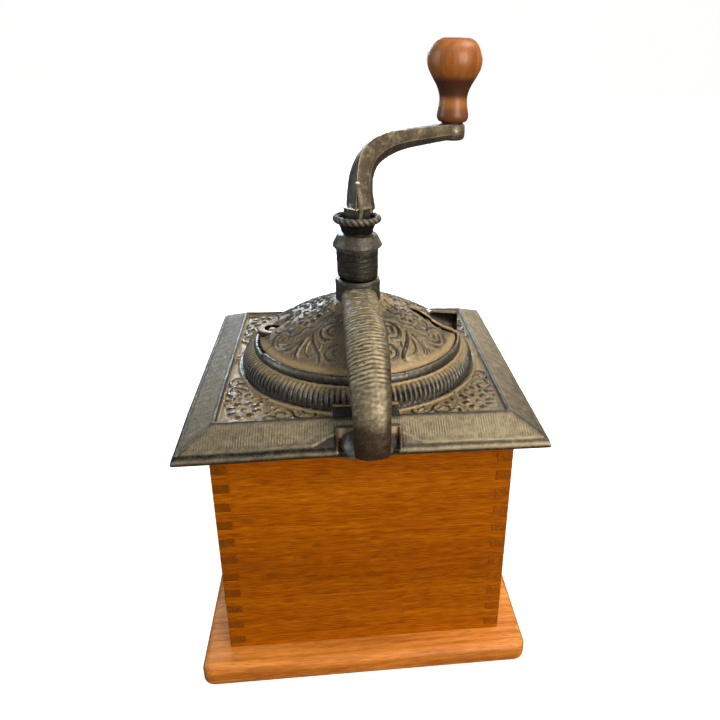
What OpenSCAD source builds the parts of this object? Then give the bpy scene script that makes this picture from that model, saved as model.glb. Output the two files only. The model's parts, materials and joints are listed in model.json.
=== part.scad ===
// Hand crank coffee grinder: finger-jointed wooden box with a drawer, a cast-iron top
// plate with a domed hopper and a swinging lid, a grip handle, a burr grinder inside
// and an S-shaped crank. Origin: centre of the base's underside, on the crank's axis.
// +Z is up, the grip handle points to -Y and the drawer opens to +Y.

/* [Base] */
// Width of the square base board
base_w = 184; // [176:1:196]
// Thickness of the base board
base_h = 13.5; // [12:0.5:18]
// Radius of the base board's rounded edges
base_edge_r = 5; // [2:0.5:5.5]

/* [Box] */
// Outer width of the square box
box_w = 155; // [150:1:157]
// Thickness of the box boards
board_t = 8.5; // [7:0.5:10]
// Height of one box-joint finger
finger_w = 5.72; // [5.6:0.02:5.8]
// Height of the narrow finger left over at the bottom
finger_stub = 2.74; // [2:0.02:4]

/* [Drawer] */
// Thickness of the drawer's sides and back
drawer_t = 6; // [5:0.5:7]
// Height of the drawer's sides
drawer_side_h = 48; // [36:1:54]
// Gap between the drawer and the boards around it
drawer_gap = 0.5; // [0.3:0.1:0.8]
// Diameter of the drawer's knob
drawer_knob_d = 19; // [16:1:24]

/* [Top plate] */
// Width of the square top plate
plate_w = 184; // [180:1:190]
// Height of the plate's upright lip
lip_h = 4.2; // [3:0.2:5]
// Width inside the raised bead round the panel
panel_w = 146.4; // [146:0.2:148]
// Height of the bead's top above the top of the lip
border_rise = 8.2; // [7:0.2:9]

/* [Hopper] */
// Radius of the fluted ring
ring_r = 67.5; // [66:0.5:69]
// Radius of the dome where it meets its bead
dome_r = 57; // [56.5:0.1:57.5]
// Wall thickness of the dome and its lid
dome_t = 3; // [2.5:0.1:3.4]
// Gap between the lid and the fixed part of the dome
lid_gap = 0.5; // [0.4:0.1:1]
// Radius of the lid's pivot ear
ear_r = 8.6; // [8:0.2:10]

/* [Handle] */
// Width of the grip strap at its middle
strap_w = 22; // [18:0.5:24]
// Thickness of the grip strap
strap_t = 8; // [6:0.5:9]
// How far the handle stands off square
handle_yaw = 1.8; // [0:0.2:4]

/* [Neck and nut] */
// Radius of the handle's collar
collar_r = 12.7; // [12:0.1:13.5]
// Radius of the neck sleeve
sleeve_r = 11.6; // [11:0.1:12]
// Radius of the sleeve's skirt
skirt_r = 13.7; // [13:0.1:14.5]
// Radius of the adjusting nut's rim
nut_r = 13.3; // [13:0.1:14]

/* [Crank] */
// Distance from the crank's axis to the knob's axis
crank_reach = 82.8; // [70:0.5:110]
// Height of the top of the crank arm's outer stretch
crank_top = 287.2; // [286:0.2:292]
// Direction of the crank at rest, from +X towards +Y
crank_angle = 43; // [0:1:90]
// Thickness of the crank arm across its bend
crank_t = 8.4; // [7:0.2:10]
// Greatest radius of the knob
knob_r = 16.3; // [14:0.1:18]
// Height of the knob
knob_h = 46.8; // [40:0.1:50]

/* [Grinding parts] */
// Radius of the main shaft
shaft_r = 6; // [5:0.5:6]
// Greatest radius of the inner burr
burr_r = 17; // [15:0.5:17.2]
// Number of teeth on each burr
burr_teeth = 14; // [10:1:18]

/* [Hidden] */

$fn = 64;
small_fn = 24;
// Radial clearance of a running fit
run_fit = 0.08;
// Overshoot of a cutting solid
over = 1;
iron = "#4a4338";
dark_iron = "#35312c";
steel = "#8d8a84";
box_wood = "#a8651f";
base_wood = "#c88850";
knob_wood = "#8a4a20";

// Box levels
fingers = 12;
box_h = finger_w * (2 * fingers - 1) + finger_stub;
box_top = base_h + box_h;
box_in = box_w / 2 - board_t;
drawer_fingers = 6;
drawer_open_top = box_top - 2 * drawer_fingers * finger_w;

// Plate levels
plate_seat = 0.9;
plate_z = box_top - plate_seat;
lip_z = plate_z + lip_h;
bead_z = lip_z + border_rise;
bead_w = 1.5;
panel_z = bead_z - 1.8;
panel_t = 4;
panel_under = panel_z - panel_t;
ring_in = 54;

// Dome outline: radius and height of its outer face, from the neck to the rim
dome_rim_z = 174.9;
dome_outer = [[collar_r, 196.2], [18, 193.8], [26, 190.6], [35, 186.9], [45, 181.5],
    [53.5, 177], [dome_r - 0.7, 175.8], [dome_r, dome_rim_z]];
lid_under = 172.9;
lid_in_r = 20.3;
neck_root_r = 20;
stub_r = 9;

// Lid pivot
pivot = [-49.8, 0];
rivet_r = 2.6;
ear_top = 178.2;
ear_under = 174.8;
lobe_y = -22.3;
lobe_r = 30;
// Lid's free edge from the middle outwards: it bows forward under the thumb tab
free_edge = [[28, 0], [36, -3.4], [43, -6.6], [48, -7.2], [53, -5], [58, -2], [80, -2]];

// Neck levels
collar_top = 208.2;
sleeve_z = 208.4;
skirt_z = 226;
skirt_wide_z = 227.8;
sleeve_top = 234.2;
skirt_top_r = 10.7;
stub_top = 225;

// Adjusting nut levels
nut_z = 234.5;
nut_foot_r = 8.6;
nut_floor = 237.6;
rim_z = 242;
rim_bead = 1.9;
thread_r = 5;

// Grinding parts, levels
bowl_flange_t = 4;
bowl_flange_r = 62;
bowl_wall = 3;
housing_r = 26;
housing_z = 100;
burr_top = 121;
burr_bottom = 101;
bridge_top = 97;
bridge_h = 8;
bridge_w = 14;
bridge_len = 62;
journal_r = 4.5;

// Knob levels
washer_t = 0.6;
knob_z = crank_top + washer_t + 0.2;
knob_bore = 3;
knob_x = crank_reach * cos(crank_angle);
knob_y = crank_reach * sin(crank_angle);

function lerp(a, b, t) = a + (b - a) * t;
function bezier(p, t) = pow(1 - t, 3) * p[0] + 3 * pow(1 - t, 2) * t * p[1]
    + 3 * (1 - t) * t * t * p[2] + pow(t, 3) * p[3];
function bezier_slope(p, t) = 3 * pow(1 - t, 2) * (p[1] - p[0])
    + 6 * (1 - t) * t * (p[2] - p[1]) + 3 * t * t * (p[3] - p[2]);
function unit(v) = v / norm(v);

// ---------- wooden case ----------

module at_corners(half)
    for (x = [-half, half], y = [-half, half])
        translate([x, y, 0]) children();

// Rectangle centred on the origin with rounded corners
module rounded_rect(width, height, r) {
    x = width / 2 - r;
    y = height / 2 - r;
    arc = [for (a = [0 : 15 : 90]) r * [cos(a), sin(a)]];
    polygon([for (q = [0 : 3], p = arc)
        let (c = cos(90 * q), s = sin(90 * q), cx = (q == 0 || q == 3) ? x : -x, cy = q < 2 ? y : -y)
        [cx + p[0] * c - p[1] * s, cy + p[0] * s + p[1] * c]]);
}

// Square board with rounded corners and edges
module rounded_board(width, height, edge_r) {
    intersection() {
        linear_extrude(height) rounded_rect(width, width, edge_r + 2);
        translate([0, 0, height / 2]) rotate([90, 0, 0])
            linear_extrude(width + 2, center = true) rounded_rect(width, height, edge_r);
        translate([0, 0, height / 2]) rotate([90, 0, 90])
            linear_extrude(width + 2, center = true) rounded_rect(width, height, edge_r);
    }
}

module base_board() {
    color(base_wood) difference() {
        rounded_board(base_w, base_h, base_edge_r);
        base_screw_places() translate([0, 0, -over]) cylinder(r = 1.8, h = base_h + 2 * over);
        base_screw_places() translate([0, 0, -over]) cylinder(r = 3.6, h = 3.4 + over);
    }
}

module base_screw_places()
    for (x = [-1, 1], y = [-45, 45])
        translate([x * (box_w - board_t) / 2, y, 0]) children();

// Finger k counts down from the top of the box
module finger_gaps(count, first) {
    for (k = [first : 2 : 2 * count - 2 + first])
        translate([-over, -over, box_top - (k + 1) * finger_w])
            cube([board_t + over, board_t + 2 * over, finger_w]);
}

// Board that lies along X at the -Y side, from bottom up to the box's top
module box_board_x(bottom, count) {
    difference() {
        translate([-box_w / 2, -box_w / 2, bottom])
            cube([box_w, board_t, box_top - bottom]);
        for (side = [0, 1]) mirror([side, 0, 0])
            translate([-box_w / 2, -box_w / 2, 0]) finger_gaps(count, 0);
    }
}

module front_board()
    color(box_wood) box_board_x(base_h, fingers);

module drawer_side_board()
    color(box_wood) mirror([0, 1, 0]) box_board_x(drawer_open_top, drawer_fingers);

// Board that lies along Y at the -X side
module box_board_y() {
    difference() {
        translate([-box_w / 2, -box_w / 2, base_h]) cube([board_t, box_w, box_h]);
        translate([-box_w / 2, -box_w / 2, 0]) side_gaps(fingers - 1);
        mirror([0, 1, 0]) translate([-box_w / 2, -box_w / 2, 0]) side_gaps(drawer_fingers);
        translate([-box_w / 2 - over, -box_w / 2 - over, base_h - over])
            cube([board_t + 2 * over, board_t + over, finger_stub + over]);
    }
}

module side_gaps(count) {
    for (k = [1 : 2 : 2 * count - 1])
        translate([-over, -over, box_top - (k + 1) * finger_w])
            cube([board_t + 2 * over, board_t + over, finger_w]);
}

module left_board()
    color(box_wood) box_board_y();

module right_board()
    color(box_wood) mirror([1, 0, 0]) box_board_y();

// Glue blocks in the two corners of the closed side and, shorter, at the drawer side
block_w = 14;
block_h = 30;
module corner_blocks() {
    color(base_wood) difference() {
        at_corners(box_in - block_w / 2) translate([-block_w / 2, -block_w / 2, box_top - block_h])
            cube([block_w, block_w, block_h]);
        plate_screw_places() translate([0, 0, box_top - block_h - over])
            cylinder(r = 2.2, h = block_h + 2 * over);
    }
}

module plate_screw_places()
    at_corners(box_in - block_w / 2) children();

// Countersunk wood screws, up through the base into the box boards
module base_screws() {
    color(steel) base_screw_places() {
        translate([0, 0, 1.4]) cylinder(r1 = 3.5, r2 = 1.75, h = 2);
        translate([0, 0, 0.6]) cylinder(r = 3.5, h = 0.8);
        translate([0, 0, 3.4]) cylinder(r = 1.75, h = 32);
    }
}

// Machine screws, up through the corner blocks into bosses of the top plate
module plate_screws() {
    color(steel) plate_screw_places() {
        translate([0, 0, box_top - block_h - 3]) cylinder(r = 4, h = 3);
        translate([0, 0, box_top - block_h]) cylinder(r = 2.1, h = block_h + 3);
    }
}

// ---------- top plate ----------

module border_profile() {
    half = plate_w / 2;
    bead = panel_w / 2 + bead_w;
    polygon([[-half, plate_z], [half, plate_z], [half, lip_z], [bead, bead_z],
        [-bead, bead_z], [-half, lip_z]]);
}

// Square frustum with mitred slopes
module border_solid() {
    intersection() {
        rotate([90, 0, 0]) linear_extrude(plate_w + 2, center = true) border_profile();
        rotate([90, 0, 90]) linear_extrude(plate_w + 2, center = true) border_profile();
    }
}

// Section of the raised ring: outer bead, fluted quarter round, step and dome bead
module ring_section() {
    flute_x = ring_r - 6.5;
    polygon(concat(
        [[ring_in, panel_under], [ring_r + 2, panel_under], [ring_r + 2, panel_z + 0.8]],
        [[ring_r + 1, panel_z + 1.2], [ring_r, panel_z + 0.8]],
        [for (a = [0 : 15 : 90]) [flute_x + 6.5 * cos(a), panel_z + 3 + 8 * sin(a)]],
        [[flute_x, lid_under - 2.4], [flute_x - 0.8, lid_under - 0.8]],
        [[flute_x - 2, lid_under - 0.5], [dome_r + 0.6, lid_under - 0.5]],
        [[dome_r - 0.4, lid_under - 1], [ring_in, lid_under - 1]]));
}

// Section of the dome's shell between two radii
module dome_section(r_in, r_out, thick) {
    intersection() {
        polygon(concat(dome_outer, [[dome_r, lid_under]],
            [for (i = [len(dome_outer) - 1 : -1 : 0])
                [dome_outer[i][0] - 0.9, max(lid_under, dome_outer[i][1] - thick - 0.2)]]));
        translate([r_in, lid_under]) square([r_out - r_in, 40]);
    }
}

// Plan outline of the lid; grow widens it for the opening in the dome
module lid_outline(grow = 0) {
    difference() {
        union() {
            intersection() {
                circle(r = dome_r + grow);
                translate([0, -grow])
                    polygon(concat([[-80, 80], [-80, 0]], free_edge, [[80, 80]]));
            }
            intersection() {
                circle(r = dome_r + grow);
                translate([-80, lobe_y - grow]) square([80, 60]);
                translate(pivot) circle(r = lobe_r - 0.3 + grow);
            }
            translate(pivot) circle(r = ear_r + grow);
        }
        circle(r = lid_in_r - grow);
    }
}

// Rectangular pad that links the ring to the border in front of the handle
pad_w = 34;
pad_x = 0.8;
// Notch in the border for the handle's foot
notch_x = 1.3;
notch_w = 30.6;
notch_y = -81.3;
notch_floor = 3;
link_w = 5;

module top_plate() {
    color(iron) difference() {
        union() {
            difference() {
                border_solid();
                translate([-panel_w / 2, -panel_w / 2, panel_z]) cube([panel_w, panel_w, 20]);
                plate_underside();
                translate([0, 0, 100]) cylinder(r = ring_in, h = 100, $fn = 128);
                notch_cut();
            }
            rotate_extrude($fn = 128) ring_section();
            front_dome();
            neck_root();
            ear_boss();
            front_pad();
            side_links();
            plate_bosses();
        }
        translate([0, 0, 150]) cylinder(r = shaft_r + run_fit, h = 100);
        translate([pivot[0], pivot[1], 140]) cylinder(r = rivet_r, h = 60);
        plate_screw_places() translate([0, 0, box_top - over]) cylinder(r = 2.1, h = 4 + over);
        hopper_screw_places() translate([0, 0, panel_under - over])
            cylinder(r = 2.1, h = 3 + over);
        handle_screw_place() translate([0, 0, plate_z - over])
            cylinder(r = 2.3, h = notch_floor + 2 * over);
    }
}

module plate_underside() {
    wide = plate_w / 2 - 4;
    seat_out = box_w / 2 + 1;
    translate([-wide, -wide, plate_z - over]) cube([2 * wide, 2 * wide, plate_seat + over]);
    translate([-box_in + 1, -box_in + 1, plate_z - over])
        cube([2 * box_in - 2, 2 * box_in - 2, panel_under - plate_z + over]);
    difference() {
        translate([-wide, -wide, plate_z]) cube([2 * wide, 2 * wide, 3]);
        translate([-seat_out, -seat_out, plate_z - over])
            cube([2 * seat_out, 2 * seat_out, 6]);
        notch_block();
    }
}

module notch_block()
    translate([notch_x - notch_w / 2 - 3, -plate_w / 2, plate_z])
        cube([notch_w + 6, plate_w / 2 + notch_y + 4, 8]);

module notch_cut()
    translate([notch_x - notch_w / 2, -plate_w / 2 - over, plate_z + notch_floor])
        cube([notch_w, plate_w / 2 + notch_y + over, 20]);

module front_dome() {
    difference() {
        union() {
            rotate_extrude($fn = 128) dome_section(neck_root_r - 0.5, dome_r, dome_t);
            rotate_extrude($fn = 128) translate([ring_in, lid_under - 1.5])
                square([dome_r - ring_in, 1.5]);
        }
        translate([0, 0, 160]) linear_extrude(60) lid_outline(lid_gap);
    }
}

module neck_root() {
    translate([0, 0, 188]) cylinder(r = stub_r, h = stub_top - 188);
    rotate_extrude() intersection() {
        polygon([[0, 186], [12, 186.6], [neck_root_r, 189], [neck_root_r, 193],
            [18, 193.8], [collar_r, 196.2], [0, 196.2]]);
        square([neck_root_r, 250]);
    }
}

module ear_boss() {
    intersection() {
        translate([pivot[0], pivot[1], panel_under]) cylinder(r = 7, h = lid_under - 0.4 - panel_under);
        cylinder(r = dome_r, h = 200);
    }
}

module front_pad()
    translate([pad_x - pad_w / 2, -panel_w / 2 - 0.5, panel_under])
        cube([pad_w, panel_w / 2 + 0.5 - ring_r + 3, panel_t + 4.6]);

module side_links()
    for (side = [-1, 1])
        translate([side * (ring_r + panel_w / 2) / 2, 3, panel_z])
            cube([panel_w / 2 - ring_r + 1, link_w, 2.4], center = true);

module plate_bosses()
    plate_screw_places() translate([0, 0, box_top]) cylinder(r = 5, h = panel_under - box_top + 0.5);

// ---------- handle ----------

// Outer line of the strap in its own upright plane: distance from the axis, and height
strap_line = [[10, 205.5], [60, 205], [98.5, 195], [98.2, 148.6]];
strap_steps = 22;
strap_sides = 14;
function strap_width(t) = strap_w * (0.9 + 0.1 * sin(180 * min(1, t * 1.2)) - 0.09 * t * t);

function strap_ring(t) =
    let (c = bezier(strap_line, t),
         d = unit(bezier_slope(strap_line, t)),
         n = [-d[1], d[0]],
         half = strap_width(t) / 2)
    [for (i = [0 : strap_sides - 1])
        let (a = 360 * (i + 0.5) / strap_sides,
             across = half * cos(a),
             depth = strap_t * (sin(a) > 0 ? pow(sin(a), 0.8) * 0.75 : 0.25 * sin(a))
                 - strap_t * 0.75)
        [across, -(c[0] + n[0] * depth), c[1] + n[1] * depth]];

module strap() {
    rings = [for (k = [0 : strap_steps]) strap_ring(k / strap_steps)];
    n = strap_sides;
    polyhedron(
        points = [for (ring = rings) each ring],
        faces = concat(
            [[for (i = [0 : n - 1]) i]],
            [for (k = [0 : strap_steps - 1], i = [0 : n - 1])
                [k * n + i, (k + 1) * n + i, (k + 1) * n + (i + 1) % n, k * n + (i + 1) % n]],
            [[for (i = [n - 1 : -1 : 0]) strap_steps * n + i]]));
}

// Foot block that sits in the plate's notch behind the strap
foot_w = 27.5;
foot_h = 8;
module handle_foot() {
    z = plate_z + notch_floor;
    difference() {
        intersection() {
            translate([notch_x - foot_w / 2, -plate_w / 2 - 3, z])
                cube([foot_w, plate_w / 2 + notch_y + 3 - 0.4, foot_h]);
            translate([notch_x, 0, z]) rotate([90, 0, 0])
                cylinder(r = foot_w / 2, h = plate_w / 2 + 4, $fn = 48);
        }
        handle_screw_place() translate([0, 0, plate_z]) cylinder(r = 1.9, h = 9);
    }
}

module handle_casting() {
    color(iron) {
        difference() {
            union() {
                rotate([0, 0, handle_yaw]) strap();
                translate([0, 0, 190]) cylinder(r = collar_r, h = collar_top - 190);
            }
            translate([0, 0, 180]) cylinder(r = stub_r, h = 50);
            translate([0, 0, 180]) rotate_extrude() polygon([[0, 0], [30, 0],
                [26, 10.6], [18, 13.8], [collar_r, 16.2], [0, 16.2]]);
            translate([-strap_w, -plate_w / 2, plate_z])
                cube([2 * strap_w, 20, notch_floor]);
        }
        handle_foot();
    }
}

module handle_screw_place()
    translate([notch_x - 9, notch_y - 5, 0]) children();

module handle_screw() {
    color(steel) handle_screw_place() {
        translate([0, 0, plate_z - 2.2]) cylinder(r = 3.6, h = 2.2);
        translate([0, 0, plate_z]) cylinder(r = 1.9, h = 8.5);
    }
}

// ---------- neck ----------

module neck_sleeve() {
    color(dark_iron) rotate_extrude() polygon([[stub_r, sleeve_z], [sleeve_r - 0.4, sleeve_z],
        [sleeve_r + 0.2, skirt_z], [skirt_r - 0.5, skirt_z], [skirt_r, skirt_wide_z - 0.6],
        [skirt_r - 0.2, skirt_wide_z], [skirt_top_r, sleeve_top - 0.6],
        [skirt_top_r - 0.6, sleeve_top], [shaft_r + run_fit, sleeve_top],
        [shaft_r + run_fit, stub_top], [stub_r, stub_top]]);
}

module thrust_washer() {
    color(steel) translate([0, 0, sleeve_top + 0.05]) difference() {
        cylinder(r = 7.4, h = 1.6);
        translate([0, 0, -over]) cylinder(r = thread_r + run_fit, h = 4);
    }
}

// Cup-shaped nut with a roped rim; a recess in its foot covers the thrust washer
module adjusting_nut() {
    recess_top = sleeve_top + 1.95;
    color(dark_iron) rotate_extrude() {
        polygon([[nut_foot_r, nut_z], [nut_r - 2.6, rim_z - 1.4], [nut_r - 1.5, rim_z + 0.6],
            [nut_r - 2.6, rim_z + 1.4], [10, rim_z + 0.6], [8.6, nut_floor + 1.2],
            [8, nut_floor], [thread_r + run_fit, nut_floor], [thread_r + run_fit, recess_top],
            [7.7, recess_top], [7.7, nut_z]]);
        translate([nut_r - rim_bead, rim_z]) circle(r = rim_bead, $fn = 32);
    }
}

// ---------- spindle ----------

module main_shaft() {
    color(steel) difference() {
        union() {
            translate([0, 0, 84]) cylinder(r = journal_r, h = 16);
            translate([0, 0, 99]) cylinder(r = shaft_r, h = 232 - 99);
            translate([0, 0, 231]) cylinder(r = thread_r, h = 20);
        }
        burr_pin_hole();
        crank_pin_hole();
    }
}

module burr_pin_hole()
    translate([0, 0, 112]) rotate([90, 0, 0]) cylinder(r = 1.5, h = 60, center = true, $fn = small_fn);

module burr_pin() {
    color(steel) translate([0, 0, 112]) rotate([90, 0, 0])
        cylinder(r = 1.5, h = 20, center = true, $fn = small_fn);
}

module crank_pin_hole()
    translate([0, 0, 247.5]) rotate([0, 0, crank_angle]) rotate([90, 0, 0])
        cylinder(r = 1.2, h = 60, center = true, $fn = small_fn);

module crank_pin() {
    color(steel) translate([0, 0, 247.5]) rotate([0, 0, crank_angle]) rotate([90, 0, 0])
        cylinder(r = 1.2, h = crank_t + 1, center = true, $fn = small_fn);
}

// Cone that widens downwards, with straight ridges between its grooves
module inner_burr() {
    color(iron) difference() {
        rotate_extrude() polygon([[shaft_r, burr_bottom], [burr_r, burr_bottom],
            [burr_r - 0.4, burr_bottom + 4], [9.5, burr_top], [shaft_r, burr_top]]);
        for (k = [0 : burr_teeth - 1]) rotate([0, 0, 360 * k / burr_teeth])
            translate([burr_r - 0.2, 0, burr_bottom - over]) rotate([0, -20.5, 12])
                cube([2.4, 1.6, 50], center = true);
        burr_pin_hole();
    }
}

module outer_burr() {
    color(iron) difference() {
        rotate_extrude() polygon([[burr_r + 1.3, burr_bottom], [housing_r - bowl_wall, burr_bottom],
            [housing_r - bowl_wall, burr_top + 1], [burr_r + 4.4, burr_top + 1],
            [burr_r + 1.6, burr_bottom + 6]]);
        for (k = [0 : burr_teeth - 1]) rotate([0, 0, 360 * (k + 0.5) / burr_teeth])
            translate([burr_r + 1.6, 0, burr_top]) cube([2.6, 1.6, 24], center = true);
        burr_screw_places() cylinder(r = 1.5, h = 30, center = true, $fn = small_fn);
    }
}

module burr_screw_places()
    for (a = [30, 150, 270]) rotate([0, 0, a])
        translate([housing_r, 0, 108]) rotate([0, 90, 0]) children();

module burr_screws() {
    color(steel) burr_screw_places() {
        translate([0, 0, 0.02]) cylinder(r = 2.8, h = 2, $fn = small_fn);
        translate([0, 0, -5]) cylinder(r = 1.5, h = 5.1, $fn = small_fn);
    }
}

// Funnel and burr housing, screwed under the top plate
module hopper_bowl() {
    top = panel_under;
    low = burr_top + 2.5;
    color(iron) difference() {
        union() {
            rotate_extrude($fn = 128) polygon([[housing_r - bowl_wall, housing_z],
                [housing_r, housing_z], [housing_r, low], [52 + bowl_wall, top - bowl_flange_t],
                [bowl_flange_r, top - bowl_flange_t], [bowl_flange_r, top],
                [52, top], [52, top - 1.5], [housing_r - bowl_wall, low + 0.5]]);
            bridge_ears();
        }
        hopper_screw_places() translate([0, 0, top - bowl_flange_t - over])
            cylinder(r = 2.2, h = bowl_flange_t + 2 * over);
        burr_screw_places() cylinder(r = 1.5, h = 30, center = true, $fn = small_fn);
        bridge_screw_places() translate([0, 0, housing_z - over])
            cylinder(r = 1.9, h = 14, $fn = small_fn);
    }
}

module hopper_screw_places()
    for (a = [20, 160, 270]) rotate([0, 0, a]) translate([bowl_flange_r - 3.5, 0, 0]) children();

module hopper_screws() {
    color(steel) hopper_screw_places() {
        translate([0, 0, panel_under - bowl_flange_t - 2.5]) cylinder(r = 3.2, h = 2.5);
        translate([0, 0, panel_under - bowl_flange_t]) cylinder(r = 2.1, h = bowl_flange_t + 2.9);
    }
}

module bridge_screw_places()
    for (side = [-1, 1]) translate([side * (bridge_len / 2 - 4), 0, 0]) children();

module bridge_ears() {
    difference() {
        bridge_screw_places() translate([-5, -6, housing_z]) cube([10, 12, 16]);
        translate([0, 0, housing_z - over]) cylinder(r = housing_r - bowl_wall / 2, h = 30);
    }
}

// Bar across the bottom of the housing with the shaft's lower bearing
module lower_bridge() {
    arm_h = 5;
    color(dark_iron) difference() {
        union() {
            translate([-bridge_len / 2, -bridge_w / 2 + 2, bridge_top - arm_h + 3])
                cube([bridge_len, bridge_w - 4, arm_h]);
            translate([0, 0, bridge_top - bridge_h]) cylinder(r = 9, h = bridge_h);
        }
        translate([0, 0, 60]) cylinder(r = journal_r + run_fit, h = 60);
        translate([0, 0, bridge_top]) cylinder(r = housing_r - bowl_wall, h = 20);
        bridge_screw_places() translate([0, 0, 80]) cylinder(r = 1.9, h = 30, $fn = small_fn);
    }
}

module bridge_screws() {
    z = bridge_top - 2;
    color(steel) bridge_screw_places() {
        translate([0, 0, z - 2.4]) cylinder(r = 3.2, h = 2.4, $fn = small_fn);
        translate([0, 0, z]) cylinder(r = 1.8, h = 14, $fn = small_fn);
    }
}

// ---------- lid ----------

// Upturned thumb tab at the free end of the lid, hollowed on its front face
tab_in = 43.6;
tab_out = 59;
tab_top = 183.6;
tab_from = 4.5;
tab_to = 17;
module lid_tab() {
    difference() {
        intersection() {
            translate([0, 0, lid_under]) rotate_extrude($fn = 128)
                polygon([[tab_in, 7.5], [tab_out - 1, 0], [tab_out, 1.2],
                    [tab_out, tab_top - lid_under - 1], [tab_out - 1, tab_top - lid_under],
                    [tab_in, tab_top - lid_under]]);
            translate([0, 0, 170]) linear_extrude(30) polygon([[0, 0],
                100 * [cos(tab_from), sin(tab_from)], 100 * [cos(tab_to), sin(tab_to)]]);
        }
        rotate([0, 0, tab_from]) translate([40, -1.5, 180.5]) rotate([0, 90, 0])
            cylinder(r = 6, h = 17);
    }
}

module lid() {
    color(iron) difference() {
        union() {
            intersection() {
                rotate_extrude($fn = 128) dome_section(0, dome_r, dome_t);
                translate([0, 0, 160]) linear_extrude(60) difference() {
                    lid_outline();
                    translate([lobe_r + pivot[0], -40])
                        square([free_edge[0][0] - lobe_r - pivot[0], 40.1]);
                }
            }
            translate([pivot[0], pivot[1], ear_under]) cylinder(r = ear_r, h = ear_top - ear_under);
            lid_tab();
        }
        translate([pivot[0], pivot[1], 160]) cylinder(r = rivet_r + run_fit, h = 60);
        translate([pivot[0], pivot[1], ear_top - 1.4]) cylinder(r = 4.4, h = 20);
        ear_slot();
    }
}

// Elongated recess that runs up the lid from the pivot
module ear_slot()
    hull() for (p = [[5.8, -1.9, 1.3], [10.4, -0.3, 4.9]])
        translate([pivot[0] + p[0], pivot[1] + p[1], ear_top + p[2]]) cylinder(r = 1.8, h = 12);

module lid_rivet() {
    color(steel) translate([pivot[0], pivot[1], 0]) {
        translate([0, 0, ear_top - 1.3]) cylinder(r = 3.9, h = 1);
        translate([0, 0, panel_under + 0.1]) cylinder(r = rivet_r, h = ear_top - panel_under - 1);
    }
}

// ---------- crank ----------

// Lines of the arm in its own upright plane: the outer face, the ridge along its sides
// and the narrow inner edge. Each is a bend, then a straight run to the knob.
arm_low_z = 246;
boss_h = 9.8;
root_z = 239.8;
root_w = 10.8;
arm_steps = 12;
outer_bend = [[-4.7, arm_low_z], [-3.5, 268], [10, crank_top - 0.6], [38, crank_top - 0.6]];
ridge_bend = [[6.8, arm_low_z], [5.8, 271], [12, crank_top - 7], [38, crank_top - 6.8]];
inner_bend = [[13.4, arm_low_z], [11.5, 266], [18, crank_top - 12], [42, crank_top - 11.5]];

function arm_line(bend, end) =
    concat([for (i = [0 : arm_steps]) bezier(bend, i / arm_steps)], [end]);

function reverse(list) = [for (i = [len(list) - 1 : -1 : 0]) list[i]];

module arm_slab(inner, thick) {
    rotate([90, 0, 0]) linear_extrude(thick, center = true)
        polygon(concat(arm_line(outer_bend, [crank_reach, crank_top - 0.5]), reverse(inner)));
}

module crank_arm() {
    color(iron) difference() {
        rotate([0, 0, crank_angle]) {
            arm_slab(arm_line(ridge_bend, [crank_reach, crank_top - 6]), crank_t);
            arm_slab(arm_line(inner_bend, [crank_reach, crank_top - boss_h + 0.2]), crank_t * 0.4);
            translate([crank_reach, 0, crank_top - boss_h]) cylinder(r = 8, h = boss_h);
            translate([-root_w / 2, -root_w / 2, root_z]) cube([root_w, root_w, 9]);
        }
        translate([0, 0, root_z - over]) cylinder(r = thread_r, h = 11.2 + over);
        translate([knob_x, knob_y, 260]) cylinder(r = knob_bore, h = 60);
        translate([knob_x, knob_y, 0]) rivet_sink();
        crank_pin_hole();
    }
}

// Countersink for the knob spindle's riveted end
module rivet_sink()
    translate([0, 0, crank_top - boss_h]) cylinder(r1 = 4.6, r2 = knob_bore, h = 1.6);

// Bowed spring leaf on the arm that holds the nut's rim: distance out from the arm's
// middle plane, and height
catch_w = 2.2;
catch_line = [[5.5, 242.8], [5.8, 246], [5.5, 250], [crank_t / 2, 255.5], [crank_t / 2, 259],
    [crank_t / 2 + 0.7, 259], [crank_t / 2 + 1, 255.8], [6.5, 250.4], [6.9, 246], [6.5, 242.6]];
module nut_catch() {
    color(steel) rotate([0, 0, crank_angle]) translate([-4.6, 0, 0]) rotate([90, 0, 90])
        linear_extrude(catch_w) polygon([for (p = catch_line) [-p[0], p[1]]]);
}

// ---------- knob ----------

module knob_spindle() {
    color(steel) translate([knob_x, knob_y, 0]) {
        rivet_sink();
        translate([0, 0, crank_top - boss_h]) cylinder(r = knob_bore, h = knob_z - crank_top + knob_h + 7.8);
        translate([0, 0, knob_z + knob_h - 2.4]) cylinder(r = 5, h = 1.6);
    }
}

module knob_washer() {
    color(steel) translate([knob_x, knob_y, crank_top]) difference() {
        cylinder(r = 6.6, h = washer_t);
        translate([0, 0, -over]) cylinder(r = knob_bore, h = 4);
    }
}

// Turned handle knob: foot ring, waist, bulb and flat top
module crank_knob() {
    k = knob_r;
    h = knob_h;
    color(knob_wood) translate([knob_x, knob_y, knob_z]) difference() {
        rotate_extrude($fn = 64) polygon([[0, 0], [k * 0.5, 0], [k * 0.575, h * 0.03],
            [k * 0.59, h * 0.09], [k * 0.565, h * 0.15], [k * 0.515, h * 0.21],
            [k * 0.515, h * 0.28], [k * 0.58, h * 0.37], [k * 0.73, h * 0.47],
            [k * 0.88, h * 0.57], [k * 0.98, h * 0.67], [k, h * 0.735], [k * 0.975, h * 0.81],
            [k * 0.88, h * 0.89], [k * 0.72, h * 0.96], [k * 0.53, h], [0, h]]);
        translate([0, 0, -over]) cylinder(r = knob_bore + run_fit, h = h + 2 * over);
        translate([0, 0, h - 2.8]) cylinder(r = 5.6, h = 5);
    }
}

// ---------- drawer ----------

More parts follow.
